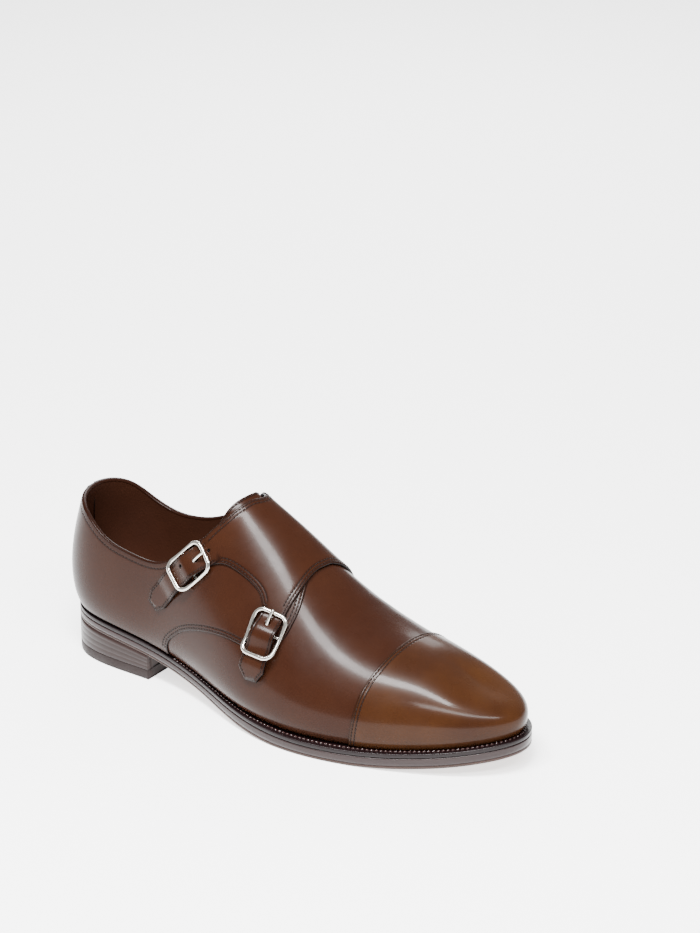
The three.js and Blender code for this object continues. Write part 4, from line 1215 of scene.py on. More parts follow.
class Strap:
    """a runs along the strap from the centre bar towards the flap, w across it."""

    def __init__(self, bar, end, line, half):
        self.bar, self.end = bar, end
        self.half = np.array(half, float)
        self.path = spline(range(len(line)), line)
        k = np.linspace(0, len(line) - 1, 40 * (len(line) - 1) + 1)
        p = on_last(*self.path(k).T)[0]
        self.gone = np.concatenate([[0], np.cumsum(np.linalg.norm(np.diff(p, axis=0), axis=1))])
        self.count = k
        at_bar = self.frame_at(np.array([0.0]))
        self.origin, self.axis, self.across, self.up = (part[0] for part in at_bar)

    def middle(self, a):
        """Chart place on the strap's middle line."""
        return self.path(np.interp(self.bar - a, self.gone, self.count))

    def frame_at(self, a):
        """Points of the middle line, and the directions along, across and up there."""
        p, n = on_last(*self.middle(a).T)
        axis = on_last(*self.middle(a + 0.5).T)[0] - p
        axis -= n * (axis * n).sum(1)[:, None]
        axis /= np.linalg.norm(axis, axis=1, keepdims=True)
        return p, axis, -np.cross(n, axis), n

    def spot(self, a, w):
        """Chart place of a point on the strap."""
        a, w = np.broadcast_arrays(np.asarray(a, float), np.asarray(w, float))
        centre, axis, across, _ = self.frame_at(a)
        place = self.middle(a).copy()
        for _ in range(NEWTON_STEPS):
            p, _ = on_last(*place.T)
            by_s = (on_last(place[:, 0] + 0.5, place[:, 1])[0] - p) / 0.5
            by_t = (on_last(place[:, 0], place[:, 1] + 0.004)[0] - p) / 0.004
            miss = centre + across * w[:, None] - p
            sa, sw = (by_s * axis).sum(1), (by_s * across).sum(1)
            ta, tw = (by_t * axis).sum(1), (by_t * across).sum(1)
            ma, mw = (miss * axis).sum(1), (miss * across).sum(1)
            det = sa * tw - ta * sw
            place += np.stack([(ma * tw - mw * ta) / det, (sa * mw - sw * ma) / det], 1)
        return place

    def place(self, a, w, h):
        """Point h above the last."""
        p, n = on_last(*self.spot(a, w).T)
        return p + n * np.asarray(h)[..., None]

    def rise(self, p):
        """How far a point of the strap is lifted over the bar and the tab."""
        off = p - self.origin
        a = off @ self.axis
        near = (np.linalg.norm(off, axis=1) < 26) & (np.abs(off @ self.across) < 11)
        bar = HUMP * np.cos(math.pi / 2 * np.clip(np.abs(a) / HUMP_REACH, 0, 1)) ** 2
        tail = TAIL_LIFT * ease(a, TAIL_END - 10, TAIL_END) * (1 - ease(a, -2, 5))
        return np.where(near, np.hypot(bar, tail), 0)

    def place_along(self, p):
        """Distance along the strap of points near it, and a high number for all others."""
        off = p - self.origin
        near = np.abs(off @ self.across) < 12
        return np.where(near & (np.linalg.norm(off, axis=1) < 46), off @ self.axis, 99.0)

    def edge(self, side, root):
        """Chart points of one edge, from the root to the blunt tip."""
        a = np.linspace(self.bar - root, self.bar - self.end + TIP_LENGTH, 40)
        long_edge = self.spot(a, side * np.interp(a, *self.half.T))
        tip_a = np.linspace(a[-1], self.bar - self.end, 7)[1:]
        shoulder = float(np.interp(a[-1], *self.half.T))
        tip = self.spot(tip_a, side * np.linspace(shoulder, TIP_HALF, 7)[1:])
        return np.concatenate([long_edge, tip])


straps = {name: Strap(**facts) for name, facts in STRAPS.items()}
for name, strap in straps.items():
    low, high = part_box("buckle_" + name)
    middle = MM / 2 * (np.array(low) + np.array(high))
    print(name, "bar", np.round(strap.origin + shift, 1), "packed buckle", np.round(middle, 1))

# %% [markdown]
# With the straps in place the whole outline can be drawn as one closed line: along the collar
# and the flap's top edge, round the rear strap, along the hollow between the straps, round the
# front strap, then across the instep and back along the inner seam and the foot.

# %% Inner quarter, flap and straps
FLAP_TOP = [
    (97.5, 0.487), (103, 0.435), (112, 0.315), (120, 0.17), (125, 0.07), (126.5, 0),
    (125.3, -0.06), (121.8, -0.18), (117.1, -0.3), (112.5, -0.39),
]
FLAP_ARCH = [
    (121.5, -0.452), (126.5, -0.418), (136, -0.39), (146.6, -0.38), (153.3, -0.388), (157.2, -0.42),
]
FLAP_FRONT = [
    (169.0, -0.395), (169.5, -0.3), (169.8, -0.22), (170, -0.1), (171.5, 0), (172, 0.12),
    (170.5, 0.28), (167, 0.45), (162, 0.6), (157.5, 0.7), (154.5, 0.745),
]
FLAP_LOWER = [
    (154.5, 0.745), (146, 0.738), (134, 0.733), (122, 0.742), (112, 0.762), (103.5, 0.8),
    (97.5, 0.86), (94.5, 0.92), (93.6, 0.985),
]
rear, front = straps["rear"], straps["front"]


def flap_rise(p):
    return rear.rise(p) + front.rise(p)


inner_collar = collar_run_of(1, 97.5)
flap_loop = outline_of(
    inner_collar,
    smooth_run([tuple(inner_collar[-1]), *FLAP_TOP[1:]]),
    rear.edge(-1, 12),
    rear.edge(1, 8)[::-1],
    smooth_run(FLAP_ARCH),
    front.edge(-1, 15),
    front.edge(1, 14)[::-1],
    smooth_run(FLAP_FRONT),
    smooth_run(FLAP_LOWER),
    foot_run(1, 93.0)[::-1],
)


FLAP_CLEAR = 0.97  # how much higher the underside lies over the outer quarter


def flap_top(points):
    return PIECE + QUARTER * ease(-points[:, 1], -0.1, 0.2)


def flap_under(points):
    return BED + FLAP_CLEAR * ease(-points[:, 1], 0.05, 0.18)


def two_on_flap(p):
    """The second row stops where the straps begin and isn't carried round the heel."""
    off_straps = (rear.place_along(p) > 17) & (front.place_along(p) > 17)
    return (off_straps & (p[:, 0] > TWO_ROWS_FROM)).astype(float)


prong_spots = [strap.spot(np.array([6.0]), np.array([0.0]))[0] for strap in straps.values()]
# chart place and radius: two spare holes, and the two that the prongs go through
HOLES = [(105.4, -0.54, 0.9), (117.2, -0.417, 0.8)] + [(s, t, 1.1) for s, t in prong_spots]
cut_piece(
    "monk_flap", flap_loop, flap_top, flap_under, calf_strap, stands_for=("monk_flap",),
    step=1.5, holes=HOLES, rise=flap_rise, two_rows=two_on_flap,
    fine=[(strap.origin, 17.0) for strap in straps.values()],
)

# %% [markdown]
# The toe cap is laid over the vamp and sewn with two rows. It wraps the toe, so it is easier as
# a grid than as an outline: columns from the sole to the ridge, rows from the seam to the tip.
# The first rows are close together and climb the cut edge of the leather.

# %% Toe cap
CAP_SEAM = [(0, 213), (0.29, 215.4), (0.44, 216.5), (0.585, 218.7), (0.75, 222.4), (1, 228.5)]
cap_seam = spline([r[0] for r in CAP_SEAM], [r[1] for r in CAP_SEAM])
CAP = 1.15
CUT = 0.42  # how far in from the seam the cap has its full height
CUT_REACH = 0.9  # how far the dark of its cut edge reaches in
cap_v = np.linspace(0.012, 1, 91)
# how far in from the seam, and share of the full height
EDGE_STEPS = [(0, -0.05), (0, 0.35), (0.06, 0.62), (0.2, 0.86), (CUT, 1.0)]
rows_after = np.concatenate([np.linspace(0, 0.055, 16), np.linspace(0.055, 1, 84)[1:]])
cap_points, cap_faces, cap_rim_and_shade = [], [], []
for side in (-1, 1):
    start = chart_u(cap_seam(cap_v)[:, 0], -1)
    length = mm_per_u(start, cap_v)
    grid, rim = [], []
    for gone, height in EDGE_STEPS:
        grid.append((start + gone / length, np.full(len(cap_v), height * CAP)))
        rim.append(np.full(len(cap_v), math.exp(-gone / CUT_REACH)))
    first = start + CUT / length
    for k in rows_after[1:]:
        gone = length * (TIP - first) * k + CUT
        pull = np.maximum(*seam_pull(gone))
        grid.append((first + (TIP - first) * k, CAP - GROOVE * pull))
        # dark of the dyed cut edge, and painted shade in the grooves of the two rows
        rim.append(np.maximum(np.exp(-gone / CUT_REACH), ROW_SHADE * pull))
    u = np.array([g[0] for g in grid])
    h = np.array([g[1] for g in grid])
    if side > 0:
        u = across_ridge(u)
        u[-1] = TIP
    v = np.broadcast_to(cap_v, u.shape)
    p = last(u, v) + last_normal(u, v) * h[..., None]
    cap_faces += grid_faces(*u.shape, len(cap_points), flip=side < 0)
    cap_points += list(p.reshape(-1, 3))
    low_rim = np.exp(-cap_v / 0.05) * 0.6
    cap_rim_and_shade += list(np.maximum(np.array(rim), low_rim[None, :]).ravel())
finished("toe_cap", cap_points, cap_faces, calf_toe, ("toe_cap",), cap_rim_and_shade)


def cap_row(depth):
    """A row of stitches in front of the cap's seam, over the ridge from side to side."""
    rows = []
    for side in (-1, 1):
        v = np.linspace(0.03, 1, 160)
        start = chart_u(cap_seam(v)[:, 0], -1)
        u = start + depth / mm_per_u(start, v)
        if side > 0:
            u = across_ridge(u)
        n = last_normal(u, v)
        rows.append((last(u, v) + n * (CAP - GROOVE + STITCH_OUT), n))
    return rows


# %% [markdown]
# The tongue lies under the flap, and only its stitched top edge shows behind the flap's. The
# back seam is covered by a narrow tab, wide at the collar and tapering down, sewn down both sides.

# %% Tongue and back tab
TONGUE_TOP = [
    (112, -0.46), (115.5, -0.29), (118.5, -0.15), (120.6, -0.05), (120.6, 0.05),
    (118.5, 0.15), (113, 0.29), (106, 0.46),
]
TONGUE_OUT = -4.5
TONGUE_IN = -6.0
tongue_loop = outline_of(
    smooth_run(TONGUE_TOP),
    smooth_run([(106, 0.46), (130, 0.44), (166, 0.42)]),
    smooth_run([(166, 0.42), (166, 0), (166, -0.42)]),
    smooth_run([(166, -0.42), (130, -0.44), (112, -0.46)]),
)


def tongue_lift(p):
    """The tongue's top comes up behind the flap between the two sides of the collar."""
    behind = 1 - ease(p[:, 0], 121, 138)
    return 3.0 * behind * (1 - ease(np.abs(p[:, 1] - 3), 17, 27))


cut_piece(
    "tongue", tongue_loop, TONGUE_OUT, TONGUE_IN, calf, stands_for=("tongue",), step=2.2,
    rise=tongue_lift, two_rows=lambda p: np.zeros(len(p)),
)

# width of the tab at heights v up the back seam
TAB_SHAPE = [(0.27, 1.2), (0.3, 2.6), (0.36, 3.6), (0.43, 4.6), (0.492, 5.6)]
TAB_ROWS = 40
TAB_ROUND = 0.6  # radius of its edge
TAB_HEM = 0.5  # its edge goes down into the quarters this far


def back_tab():
    """A tapering sheet over the back seam, u across it and v up it; returns its stitch lines."""
    v = np.linspace(TAB_SHAPE[0][0], TAB_SHAPE[-1][0], TAB_ROWS)
    half = np.interp(v, *np.array(TAB_SHAPE).T)
    per_u = mm_per_u(np.zeros(TAB_ROWS), v)
    shares = np.concatenate([[-1], np.linspace(-1, 1, 25), [1]])
    points, rim, normals = [], [], []
    for i, (level, width, per) in enumerate(zip(v, half, per_u)):
        u = shares * width / per
        n = last_normal(u, np.full(len(u), level))
        near = np.minimum(1 - np.abs(shares), i / (TAB_ROWS - 1) * 3) * width
        in_from_edge = np.clip(near / TAB_ROUND, 0, 1)
        h = QUARTER - 0.1 + np.sqrt(np.clip(1 - (1 - in_from_edge) ** 2, 0, 1))
        h[0] = h[-1] = QUARTER - TAB_HEM
        if i == 0:
            h[:] = QUARTER - TAB_HEM
        points.append(last(u, np.full(len(u), level)) + n * h[:, None])
        normals.append(n)
        rim.append(np.exp(-near / CUT_REACH))
    rows, ups = np.array(points), np.array(normals)
    finished(
        "back_tab", rows.reshape(-1, 3), grid_faces(TAB_ROWS, rows.shape[1], flip=True), calf,
        edge=np.array(rim).ravel(), merge=False,
    )
    return [(rows[2:, side] + 0.05 * ups[2:, side], ups[2:, side]) for side in (4, -5)]


tab_rows = back_tab()

# %% [markdown]
# Stitches are geometry, because at this distance they catch the light one by one. Each is a
# short six-sided bar that thins and sinks at both ends, turned a little off the row's direction
# as lockstitches are. All stitches of a seam are one mesh.

# %% One row of stitches
STITCH_PITCH = 2.3
STITCH_OUT = 0.08  # middle of a stitch above the bed of its groove
STITCH_FLAT = 0.85
STITCH_SIDES = 6
LONGEST_GAP = 3  # a row is broken where its points lie further apart
# along half a stitch, share of its radius, and how far it sinks in radii
STITCH_SHAPE = [
    (-1.0, 0.35, 0.9), (-0.82, 0.8, 0.4), (-0.4, 1.0, 0.0),
    (0.4, 1.0, 0.0), (0.82, 0.8, 0.4), (1.0, 0.35, 0.9),
]


def stitches(name, rows, material, pitch=STITCH_PITCH, radius=0.33, share=0.8, tilt=0.12):
    """Stitches along rows of (points, normals): short rounded bars that sink at their ends."""
    points, faces = [], []
    for line, normals in rows:
        gaps = np.linalg.norm(np.diff(line, axis=0), axis=1)
        run = np.concatenate([[0], np.cumsum(gaps)])
        for at in np.arange(pitch / 2, run[-1], pitch):
            k = min(np.searchsorted(run, at), len(line) - 1)
            if gaps[k - 1] > LONGEST_GAP:
                continue
            part = (at - run[k - 1]) / max(gaps[k - 1], 1e-6)
            centre = line[k - 1] * (1 - part) + line[k] * part
            n = normals[k]
            along = (line[k] - line[k - 1]) / max(gaps[k - 1], 1e-6)
            side = np.cross(n, along)
            along = along * math.cos(tilt) + side * math.sin(tilt)
            side = np.cross(n, along)
            first = len(points)
            half = pitch * share / 2
            for where, size, sink in STITCH_SHAPE:
                middle = centre + along * half * where - n * radius * sink
                for turn_at in np.linspace(0, 2 * math.pi, STITCH_SIDES + 1)[:-1]:
                    arm = side * math.cos(turn_at) + n * STITCH_FLAT * math.sin(turn_at)
                    points.append(middle + arm * radius * size)
            end = len(points) - 1
            faces += grid_faces(len(STITCH_SHAPE), STITCH_SIDES, first, flip=True, closed=True)
            faces.append([first + i for i in range(STITCH_SIDES)])
            faces.append([end - i for i in range(STITCH_SIDES)])
    finished(name, points, faces, material, merge=False)


def stitch_line(loop, depth, heights):
    """Points and normals of a row of stitches, depth inside the outline."""
    if not turned_left(loop):
        loop = loop[::-1]
    row = loop + inward(loop, 2) * depth
    rim3d = on_last(*loop.T)[0]
    base, n = on_last(*row.T)
    keep = nearest(base, rim3d) > ROW_KEPT * depth
    row, base, n = row[keep], base[keep], n[keep]
    h = heights(row, base) if callable(heights) else heights
    return base + n * (np.asarray(h) + 0 * row[:, 0])[:, None], n


print("a stitch has", len(STITCH_SHAPE) * STITCH_SIDES, "points")

# %% [markdown]
# Every row follows the outline of its piece at a set depth. Seams on the flap, the quarter and
# the cap carry two rows and the straps one. Along the collar one row runs clear of the binding,
# and along the foot, where the welt takes over, there is none.

# %% Stitches on the upper
def rows_within(rows, test):
    """Cuts a row where a test on its points fails."""
    parts = []
    for line, normals in rows:
        keep = test(line)
        edges = np.flatnonzero(np.diff(np.concatenate([[0], keep.astype(int), [0]])))
        for a, b in zip(edges[::2], edges[1::2]):
            if b - a > 3:
                parts.append((line[a:b], normals[a:b]))
    return parts


def on_flap(row, base):
    return flap_top(row) + flap_rise(base) - GROOVE + STITCH_OUT


def sewn_edge(loop, heights, two_rows):
    """The near row, and the far one where a second row or the collar asks for it."""
    near = rows_within(
        [stitch_line(loop, SEAM_NEAR, heights)],
        lambda p: off_foot(p) * (1 - at_collar(p)) > 0.5,
    )
    far = rows_within(
        [stitch_line(loop, SEAM_FAR, heights)],
        lambda p: off_foot(p) * np.maximum(two_rows(p), at_collar(p)) > 0.5,
    )
    return near + far


CAP_ROWS = (1.5, 3.5)
TONGUE_SEAM_END = 126  # the tongue's row is sewn only behind this x
stitches("flap_stitches", sewn_edge(flap_loop, on_flap, two_on_flap), thread)
quarter_rows = sewn_edge(outer_loop, QUARTER - GROOVE + STITCH_OUT, two_on_quarter)
stitches("quarter_stitches", quarter_rows, thread)
stitches("cap_stitches", cap_row(CAP_ROWS[0]) + cap_row(CAP_ROWS[1]), thread)
tongue_row = rows_within(
    [stitch_line(tongue_loop, SEAM_NEAR, lambda row, base: TONGUE_OUT + tongue_lift(base))],
    lambda p: p[:, 0] < TONGUE_SEAM_END,
)
stitches("tongue_and_tab_stitches", tongue_row + tab_rows, thread, pitch=2.1)

# %% [markdown]
# The welt is a strip of leather sewn round the edge between upper and sole. A hot wheel presses
# fine notches across its top and the thread glints between them. It is swept round the feather
# line with its own small section; the notches are waves in its top surface.

# %% Welt
WELT = 2.7
WELT_IN = 1.6  # how far it reaches in under the upper
NOTCH = 1.35
NOTCH_DEPTH = 0.16
ROUNDING = 0.55  # radius of its upper edge
WELT_BED = 0.02
# share of the way out, and share of the notches' depth there
WELT_TOP = [(0.0, 0.0), (0.22, 0.0), (0.45, 1.0), (0.7, 1.0), (1.0, 0.8)]
# height below the top edge, and how far in
WELT_LOWER = [(1.6, 0.0), (2.2, 0.05), (2.6, 0.3), (WELT, 0.8)]
welt_u = np.linspace(0, 1, 2401)[:-1]
welt_rows = ring(welt_u)
welt_nx, welt_ny = plan_outward(welt_u)
welt_margin = welt_rows[:, MARGIN]
welt_middle = welt_rows[:, :2] + 3 * np.stack([welt_nx, welt_ny], 1)
welt_gone = np.concatenate([[0], np.cumsum(np.hypot(*np.diff(welt_middle, axis=0).T))])


def at_margin(margin, z):
    """Points of the welt so far out and so far above the feather line."""
    x = welt_rows[:, 0] + welt_nx * margin
    y = welt_rows[:, 1] + welt_ny * margin
    return np.stack([x, y, feather_z(x) + z], 1)


notch = 0.5 + 0.5 * np.cos(2 * math.pi * welt_gone / NOTCH)
waisted = ease(welt_margin, 2.2, 4.5)
welt_section = [at_margin(-WELT_IN, WELT_BED + 0 * notch)]
for share, drop in WELT_TOP:
    pressed = NOTCH_DEPTH * drop * notch * (0.4 + 0.6 * waisted)
    welt_section.append(at_margin(share * (welt_margin - ROUNDING), WELT_BED - pressed))
for lean in (30, 60, 90):
    a = math.radians(lean)
    margin = welt_margin - ROUNDING + ROUNDING * math.sin(a)
    z = ROUNDING * (math.cos(a) - 1) - NOTCH_DEPTH * 0.5 * notch * waisted * (lean < 80)
    welt_section.append(at_margin(margin, z))
for below, inset in WELT_LOWER:
    welt_section.append(at_margin(welt_margin - inset, -below))
welt_section.append(at_margin(-WELT_IN, -WELT))
welt_grid = np.stack(welt_section, 1)
around, section = welt_grid.shape[:2]
welt_faces = []
for i in range(around):
    for j in range(section):
        a, b = i * section + j, i * section + (j + 1) % section
        c, d = (i + 1) % around * section + (j + 1) % section, (i + 1) % around * section + j
        welt_faces.append([a, b, c, d])
finished("welt", welt_grid.reshape(-1, 3), welt_faces, welt_top, ("welt",), merge=False)
WELT_STITCH = 2.7
WELT_STITCH_AT = 0.46  # share of the way out
WELT_STITCH_UP = 0.1
WELT_SEWN_FROM = 78  # x behind which the welt isn't sewn
stitch_at = at_margin(welt_margin * WELT_STITCH_AT, WELT_STITCH_UP)
flat_up = np.tile([0.0, 0.0, 1.0], (around, 1))
wide = (welt_margin > 2.1) & (welt_rows[:, 0] > WELT_SEWN_FROM)
runs = np.flatnonzero(np.diff(np.concatenate([[0], wide.astype(int), [0]])))
welt_parts = [(stitch_at[a:b], flat_up[a:b]) for a, b in zip(runs[::2], runs[1::2]) if b - a > 5]
stitches(
    "welt_stitches", welt_parts, welt_thread, pitch=WELT_STITCH, radius=0.52, share=0.74,
    tilt=0.22,
)

# %% [markdown]
# The outsole has a true edge all round: a small lip where it meets the welt, a flat waxed wall,
# a fine line where the layers join and a paler, bevelled lower edge. The waist is thinner. The
# side wall is swept round the shoe and the underside is a net between its two sides.

# %% Outsole
OUTSOLE_FORE = 6.4
OUTSOLE_REAR = 4.6
WAIST_FROM, WAIST_TO = 105, 165  # between these x the sole grows from thin to thick
BREAST = 69.0
BOARD_ACROSS = 14  # net columns across a board
BREAST_HOLLOW = 1.2


def sole_top_z(x):
    return feather_z(x) - WELT - GAP


def sole_under_z(x):
    thick = OUTSOLE_REAR + (OUTSOLE_FORE - OUTSOLE_REAR) * ease(x, WAIST_FROM, WAIST_TO)
    return np.maximum(0.0, sole_top_z(x) - thick)


# share of the wall's height from the top, how far it stands in, and its finish (1 is the lip)
SOLE_WALL = [
    (0.0, 1.2, 0), (0.0, 0.25, 0), (0.05, 0.05, 0), (0.12, 0.0, 0), (0.4, 0.0, 0),
    (0.64, 0.02, 0), (0.67, 0.22, 0), (0.7, 0.24, 0), (0.73, 0.04, 0), (0.86, 0.0, 1),
    (0.95, 0.12, 1), (1.0, 0.55, 1),
]
RUNGS = 261
k = np.linspace(0, 1, RUNGS)
side_u = {-1: TIP * k, 1: 1 - (1 - TIP) * k}


def sole_point(u, inset, share):
    x, y = plan_place(u, ring(u)[:, MARGIN] - inset)
    high, low = sole_top_z(x), sole_under_z(x)
    return np.stack([x, y, high + (low - high) * share], 1)


def sole_height(x, share):
    return sole_top_z(x) * (1 - share) + sole_under_z(x) * share


def walled_board(
    name, u_pairs, wall, point, material, stands_for, end_wall=False, height=None
):
    """Side walls on both sides, joined by a net above and below, and by an end wall if asked.

    Rows of the wall are share of the height, inset and finish. The nets run straight across
    unless height says how high they lie.
    """
    points, faces, kinds = [], [], []
    count = len(u_pairs[-1])
    part = np.linspace(0, 1, BOARD_ACROSS + 1)[None, :, None]
    for side in (-1, 1):
        rows = np.stack([point(u_pairs[side], inset, share) for share, inset, _ in wall], 0)
        start = len(points)
        made = grid_faces(len(wall), count, start, flip=side < 0)
        faces += made
        kinds += [wall[i // (count - 1) + 1][2] for i in range(len(made))]
        points += list(rows.reshape(-1, 3))
    for share, inset, _ in (wall[0], wall[-1]):
        outer, inner = (point(u_pairs[s], inset, share) for s in (-1, 1))
        net = outer[:, None] * (1 - part) + inner[:, None] * part
        if height is not None:
            net[..., 2] = height(net[..., 0], share)
        made = grid_faces(count, BOARD_ACROSS + 1, len(points), flip=share > 0.5)
        faces += made
        kinds += [2 if share > 0.5 else 0] * len(made)
        points += list(net.reshape(-1, 3))
    if end_wall:
        outer = np.stack([point(u_pairs[-1][-1:], inset, share)[0] for share, inset, _ in wall])
        inner = np.stack([point(u_pairs[1][-1:], inset, share)[0] for share, inset, _ in wall])
        net = outer[:, None] * (1 - part) + inner[:, None] * part
        hollow = BREAST_HOLLOW * np.sin(math.pi * part[..., 0]) * np.ones((len(wall), 1))
        made = grid_faces(len(wall), BOARD_ACROSS + 1, len(points), flip=True)
        net[1:-1, :, 0] -= hollow[1:-1]
        faces += made
        kinds += [3] * len(made)
        points += list(net.reshape(-1, 3))
    kinds = np.array(kinds)
    looks = [(look, np.flatnonzero(kinds == j).tolist()) for j, look in enumerate(material)]
    finished(name, np.array(points), faces, looks, stands_for)


walled_board(
    "outsole", side_u, SOLE_WALL, sole_point, [sole_edge, sole_lip, sole_under],
    ("outsole",), height=sole_height,
)

# %% [markdown]
# The heel is a stack of leather lifts, rasped to one surface and waxed, so the joints show only
# as fine lines. Its front, the breast, is slightly hollow. Under it sits the rubber top piece.

# %% Heel
TOP_PIECE = 6.0
LIFTS = 4
LIFT_LINE = 0.07  # depth of the line between two lifts
LINE_EDGE = 0.03  # where the line starts and where it is deepest, as shares of the height
LINE_BED = 0.012
HEEL_LEAN = 0.1  # how far in the heel runs towards the ground
HEEL_GAP = 0.09  # below the outsole
TOP_GAP = 0.1  # above the top piece
HEEL_COLUMNS = 130


def heel_limit(side):
    """u at which the sole's edge reaches the breast."""
    u = np.linspace(0.0 if side < 0 else 1.0, TIP, 4001)
    return float(np.interp(BREAST, plan_place(u, ring(u)[:, MARGIN])[0], u))


heel_u = {
    -1: np.linspace(0, heel_limit(-1), HEEL_COLUMNS),
    1: np.linspace(1, heel_limit(1), HEEL_COLUMNS),
}
stack_wall = [(0.0, 1.0, 0), (0.0, 0.1, 0)]
for lift in range(1, LIFTS + 1):
    foot = lift / LIFTS
    lean = HEEL_LEAN * foot
    stack_wall.append((foot - LINE_EDGE, lean, 0))
    if lift < LIFTS:
        stack_wall.append((foot - LINE_BED, LIFT_LINE + lean, 0))
        stack_wall.append((foot + LINE_BED, LIFT_LINE + lean, 0))
        stack_wall.append((foot + LINE_EDGE, lean, 0))
stack_wall += [(1.0, 0.25, 0), (1.0, 1.0, 0)]


def stack_point(u, inset, share):
    x, y = plan_place(u, ring(u)[:, MARGIN] - inset)
    high = sole_top_z(x) - OUTSOLE_REAR - HEEL_GAP
    return np.stack([x, y, high + (TOP_PIECE + TOP_GAP - high) * share], 1)


walled_board(
    "heel_stack", heel_u, stack_wall, stack_point, [heel_side] * 4, ("heel_stack",),
    end_wall=True,
)
TOP_WALL = [
    (0.0, 0.8, 0), (0.0, 0.25, 0), (0.06, 0.1, 0), (0.5, 0.12, 0), (0.88, 0.2, 0), (0.97, 0.35, 0),
    (1.0, 0.75, 0),
]


def top_piece_point(u, inset, share):
    x, y = plan_place(u, ring(u)[:, MARGIN] - inset)
    return np.stack([x, y, TOP_PIECE * (1 - share) + 0 * x], 1)


walled_board(
    "top_piece", heel_u, TOP_WALL, top_piece_point, [rubber] * 4, ("top_piece",),
    end_wall=True,
)

# %% [markdown]
# Inside, the foot stands on a thin leather sock over the insole. It follows the curve of the
# sole, and its rounded edge runs up against the lining.

# %% Sock
SOCK_RISE = 1.6  # its top above the feather line
SOCK_INSET = 0.7  # inside the lining
SOCK_WALL = [(0.0, 0.6, 0), (0.06, 0.1, 0), (0.15, 0.0, 0), (1.0, 0.0, 0)]


def sock_point(u, inset, share):
    x, y = plan_place(u, -WALL - SOCK_INSET - inset)
    return np.stack([x, y, feather_z(x) + SOCK_RISE - (WELT + SOCK_RISE) * share], 1)


walled_board("sock", side_u, SOCK_WALL, sock_point, [sock] * 3, ("insole",))

# %% [markdown]
# Wire parts are swept: rings of points along a path, joined by quads. A curve object with a
# bevel would be quicker, but its size along the path and its twist are easier to set one by one
# here, since the buckle's wire is bent over the curved last.

# %% Helpers for wire
BUCKLE_POINTS = 160


def sweep(line, radii, up, sides=16, closed=False, flat=1.0):
    """A round bar along a line; radii is one size, or one for every point of the line."""
    line = np.asarray(line)
    radii = np.broadcast_to(radii, len(line))
    if closed:
        run = np.roll(line, -1, 0) - np.roll(line, 1, 0)
    else:
        run = np.gradient(line, axis=0)
    run /= np.linalg.norm(run, axis=1, keepdims=True)
    guide = np.cross(up, run)
    guide /= np.linalg.norm(guide, axis=1, keepdims=True)
    rise = np.cross(run, guide)
    turn_at = np.linspace(0, 2 * math.pi, sides + 1)[:-1]
    points = (
        line[:, None]
        + guide[:, None] * (np.cos(turn_at)[None, :, None] * radii[:, None, None])
        + rise[:, None] * (np.sin(turn_at)[None, :, None] * radii[:, None, None] * flat)
    )
    count = len(line)
    faces = grid_faces(count, sides, flip=True, closed=True)
    if closed:
        last_row = (count - 1) * sides
        faces += [
            [last_row + j, last_row + (j + 1) % sides, (j + 1) % sides, j] for j in range(sides)
        ]
    else:
        faces += [list(range(sides)), list(range((count - 1) * sides, count * sides))[::-1]]
    return points.reshape(-1, 3), faces


def joined(*parts):
    """Several (points, faces) as one."""
    points, faces = [], []
    for p, f in parts:
        faces += [[i + len(points) for i in face] for face in f]
        points += list(p)
    return np.array(points), faces


def rounded_path(length, width, corner):
    """A rounded rectangle as (a, w), evenly spaced."""
    path = []
    for sa, sw, quarter in ((1, 1, 0), (-1, 1, 1), (-1, -1, 2), (1, -1, 3)):
        for turn_at in np.linspace(0, math.pi / 2, 12) + quarter * math.pi / 2:
            path.append(
                (sa * (length - corner) + corner * math.cos(turn_at),
                 sw * (width - corner) + corner * math.sin(turn_at))
            )
    path = np.array(path + path[:1])
    gone = np.concatenate([[0], np.cumsum(np.linalg.norm(np.diff(path, axis=0), axis=1))])
    even_gone = np.linspace(0, gone[-1], BUCKLE_POINTS + 1)[:-1]
    return np.stack([np.interp(even_gone, gone, column) for column in path.T], 1)


print("corner test:", np.round(rounded_path(12.0, 9.0, 4.0)[:2], 2).tolist())

# %% [markdown]
# Each buckle is a wire frame bent to a rounded rectangle with a bar across its middle. The
# frame is low at the bar and high enough at its ends to clear the strap, and its wire is a
# little flattened on top. The prong loops round the bar, tapers and rests on the frame's end.

# %% Buckles and prongs
BUCKLE_LENGTH = 12.2
BUCKLE_WIDTH = 9.3
BUCKLE_CORNER = 4.6
TAIL_RISE, ROOT_RISE = 3.0, 1.5  # how far the frame's two ends lie above its bar
WIRE = 1.25
WIRE_FLAT = 0.9
BAR = 1.0
PRONG_POINTS = 40
PRONG_THICK = 0.95
PRONG_TAPER = 0.15
PRONG_TIP = (0.95, 0.85, 0.62, 0.25)  # how the last four rings draw in
EYE = 1.7  # the prong's loop round the bar
EYE_WIRE = 0.55
EYE_POINTS = 32
# along the strap from the bar, height above the last
PRONG_PATH = [(1.6, 3.1), (4.4, 4.3), (7.3, 5.4), (10, 6.2), (BUCKLE_LENGTH, 6.55), (13.6, 6.35)]


def frame_height(a):
    """Height of the frame's wire above the last, a along the strap from the bar."""
    return BAR_HEIGHT + np.where(a < 0, TAIL_RISE, ROOT_RISE) * (a / BUCKLE_LENGTH) ** 2


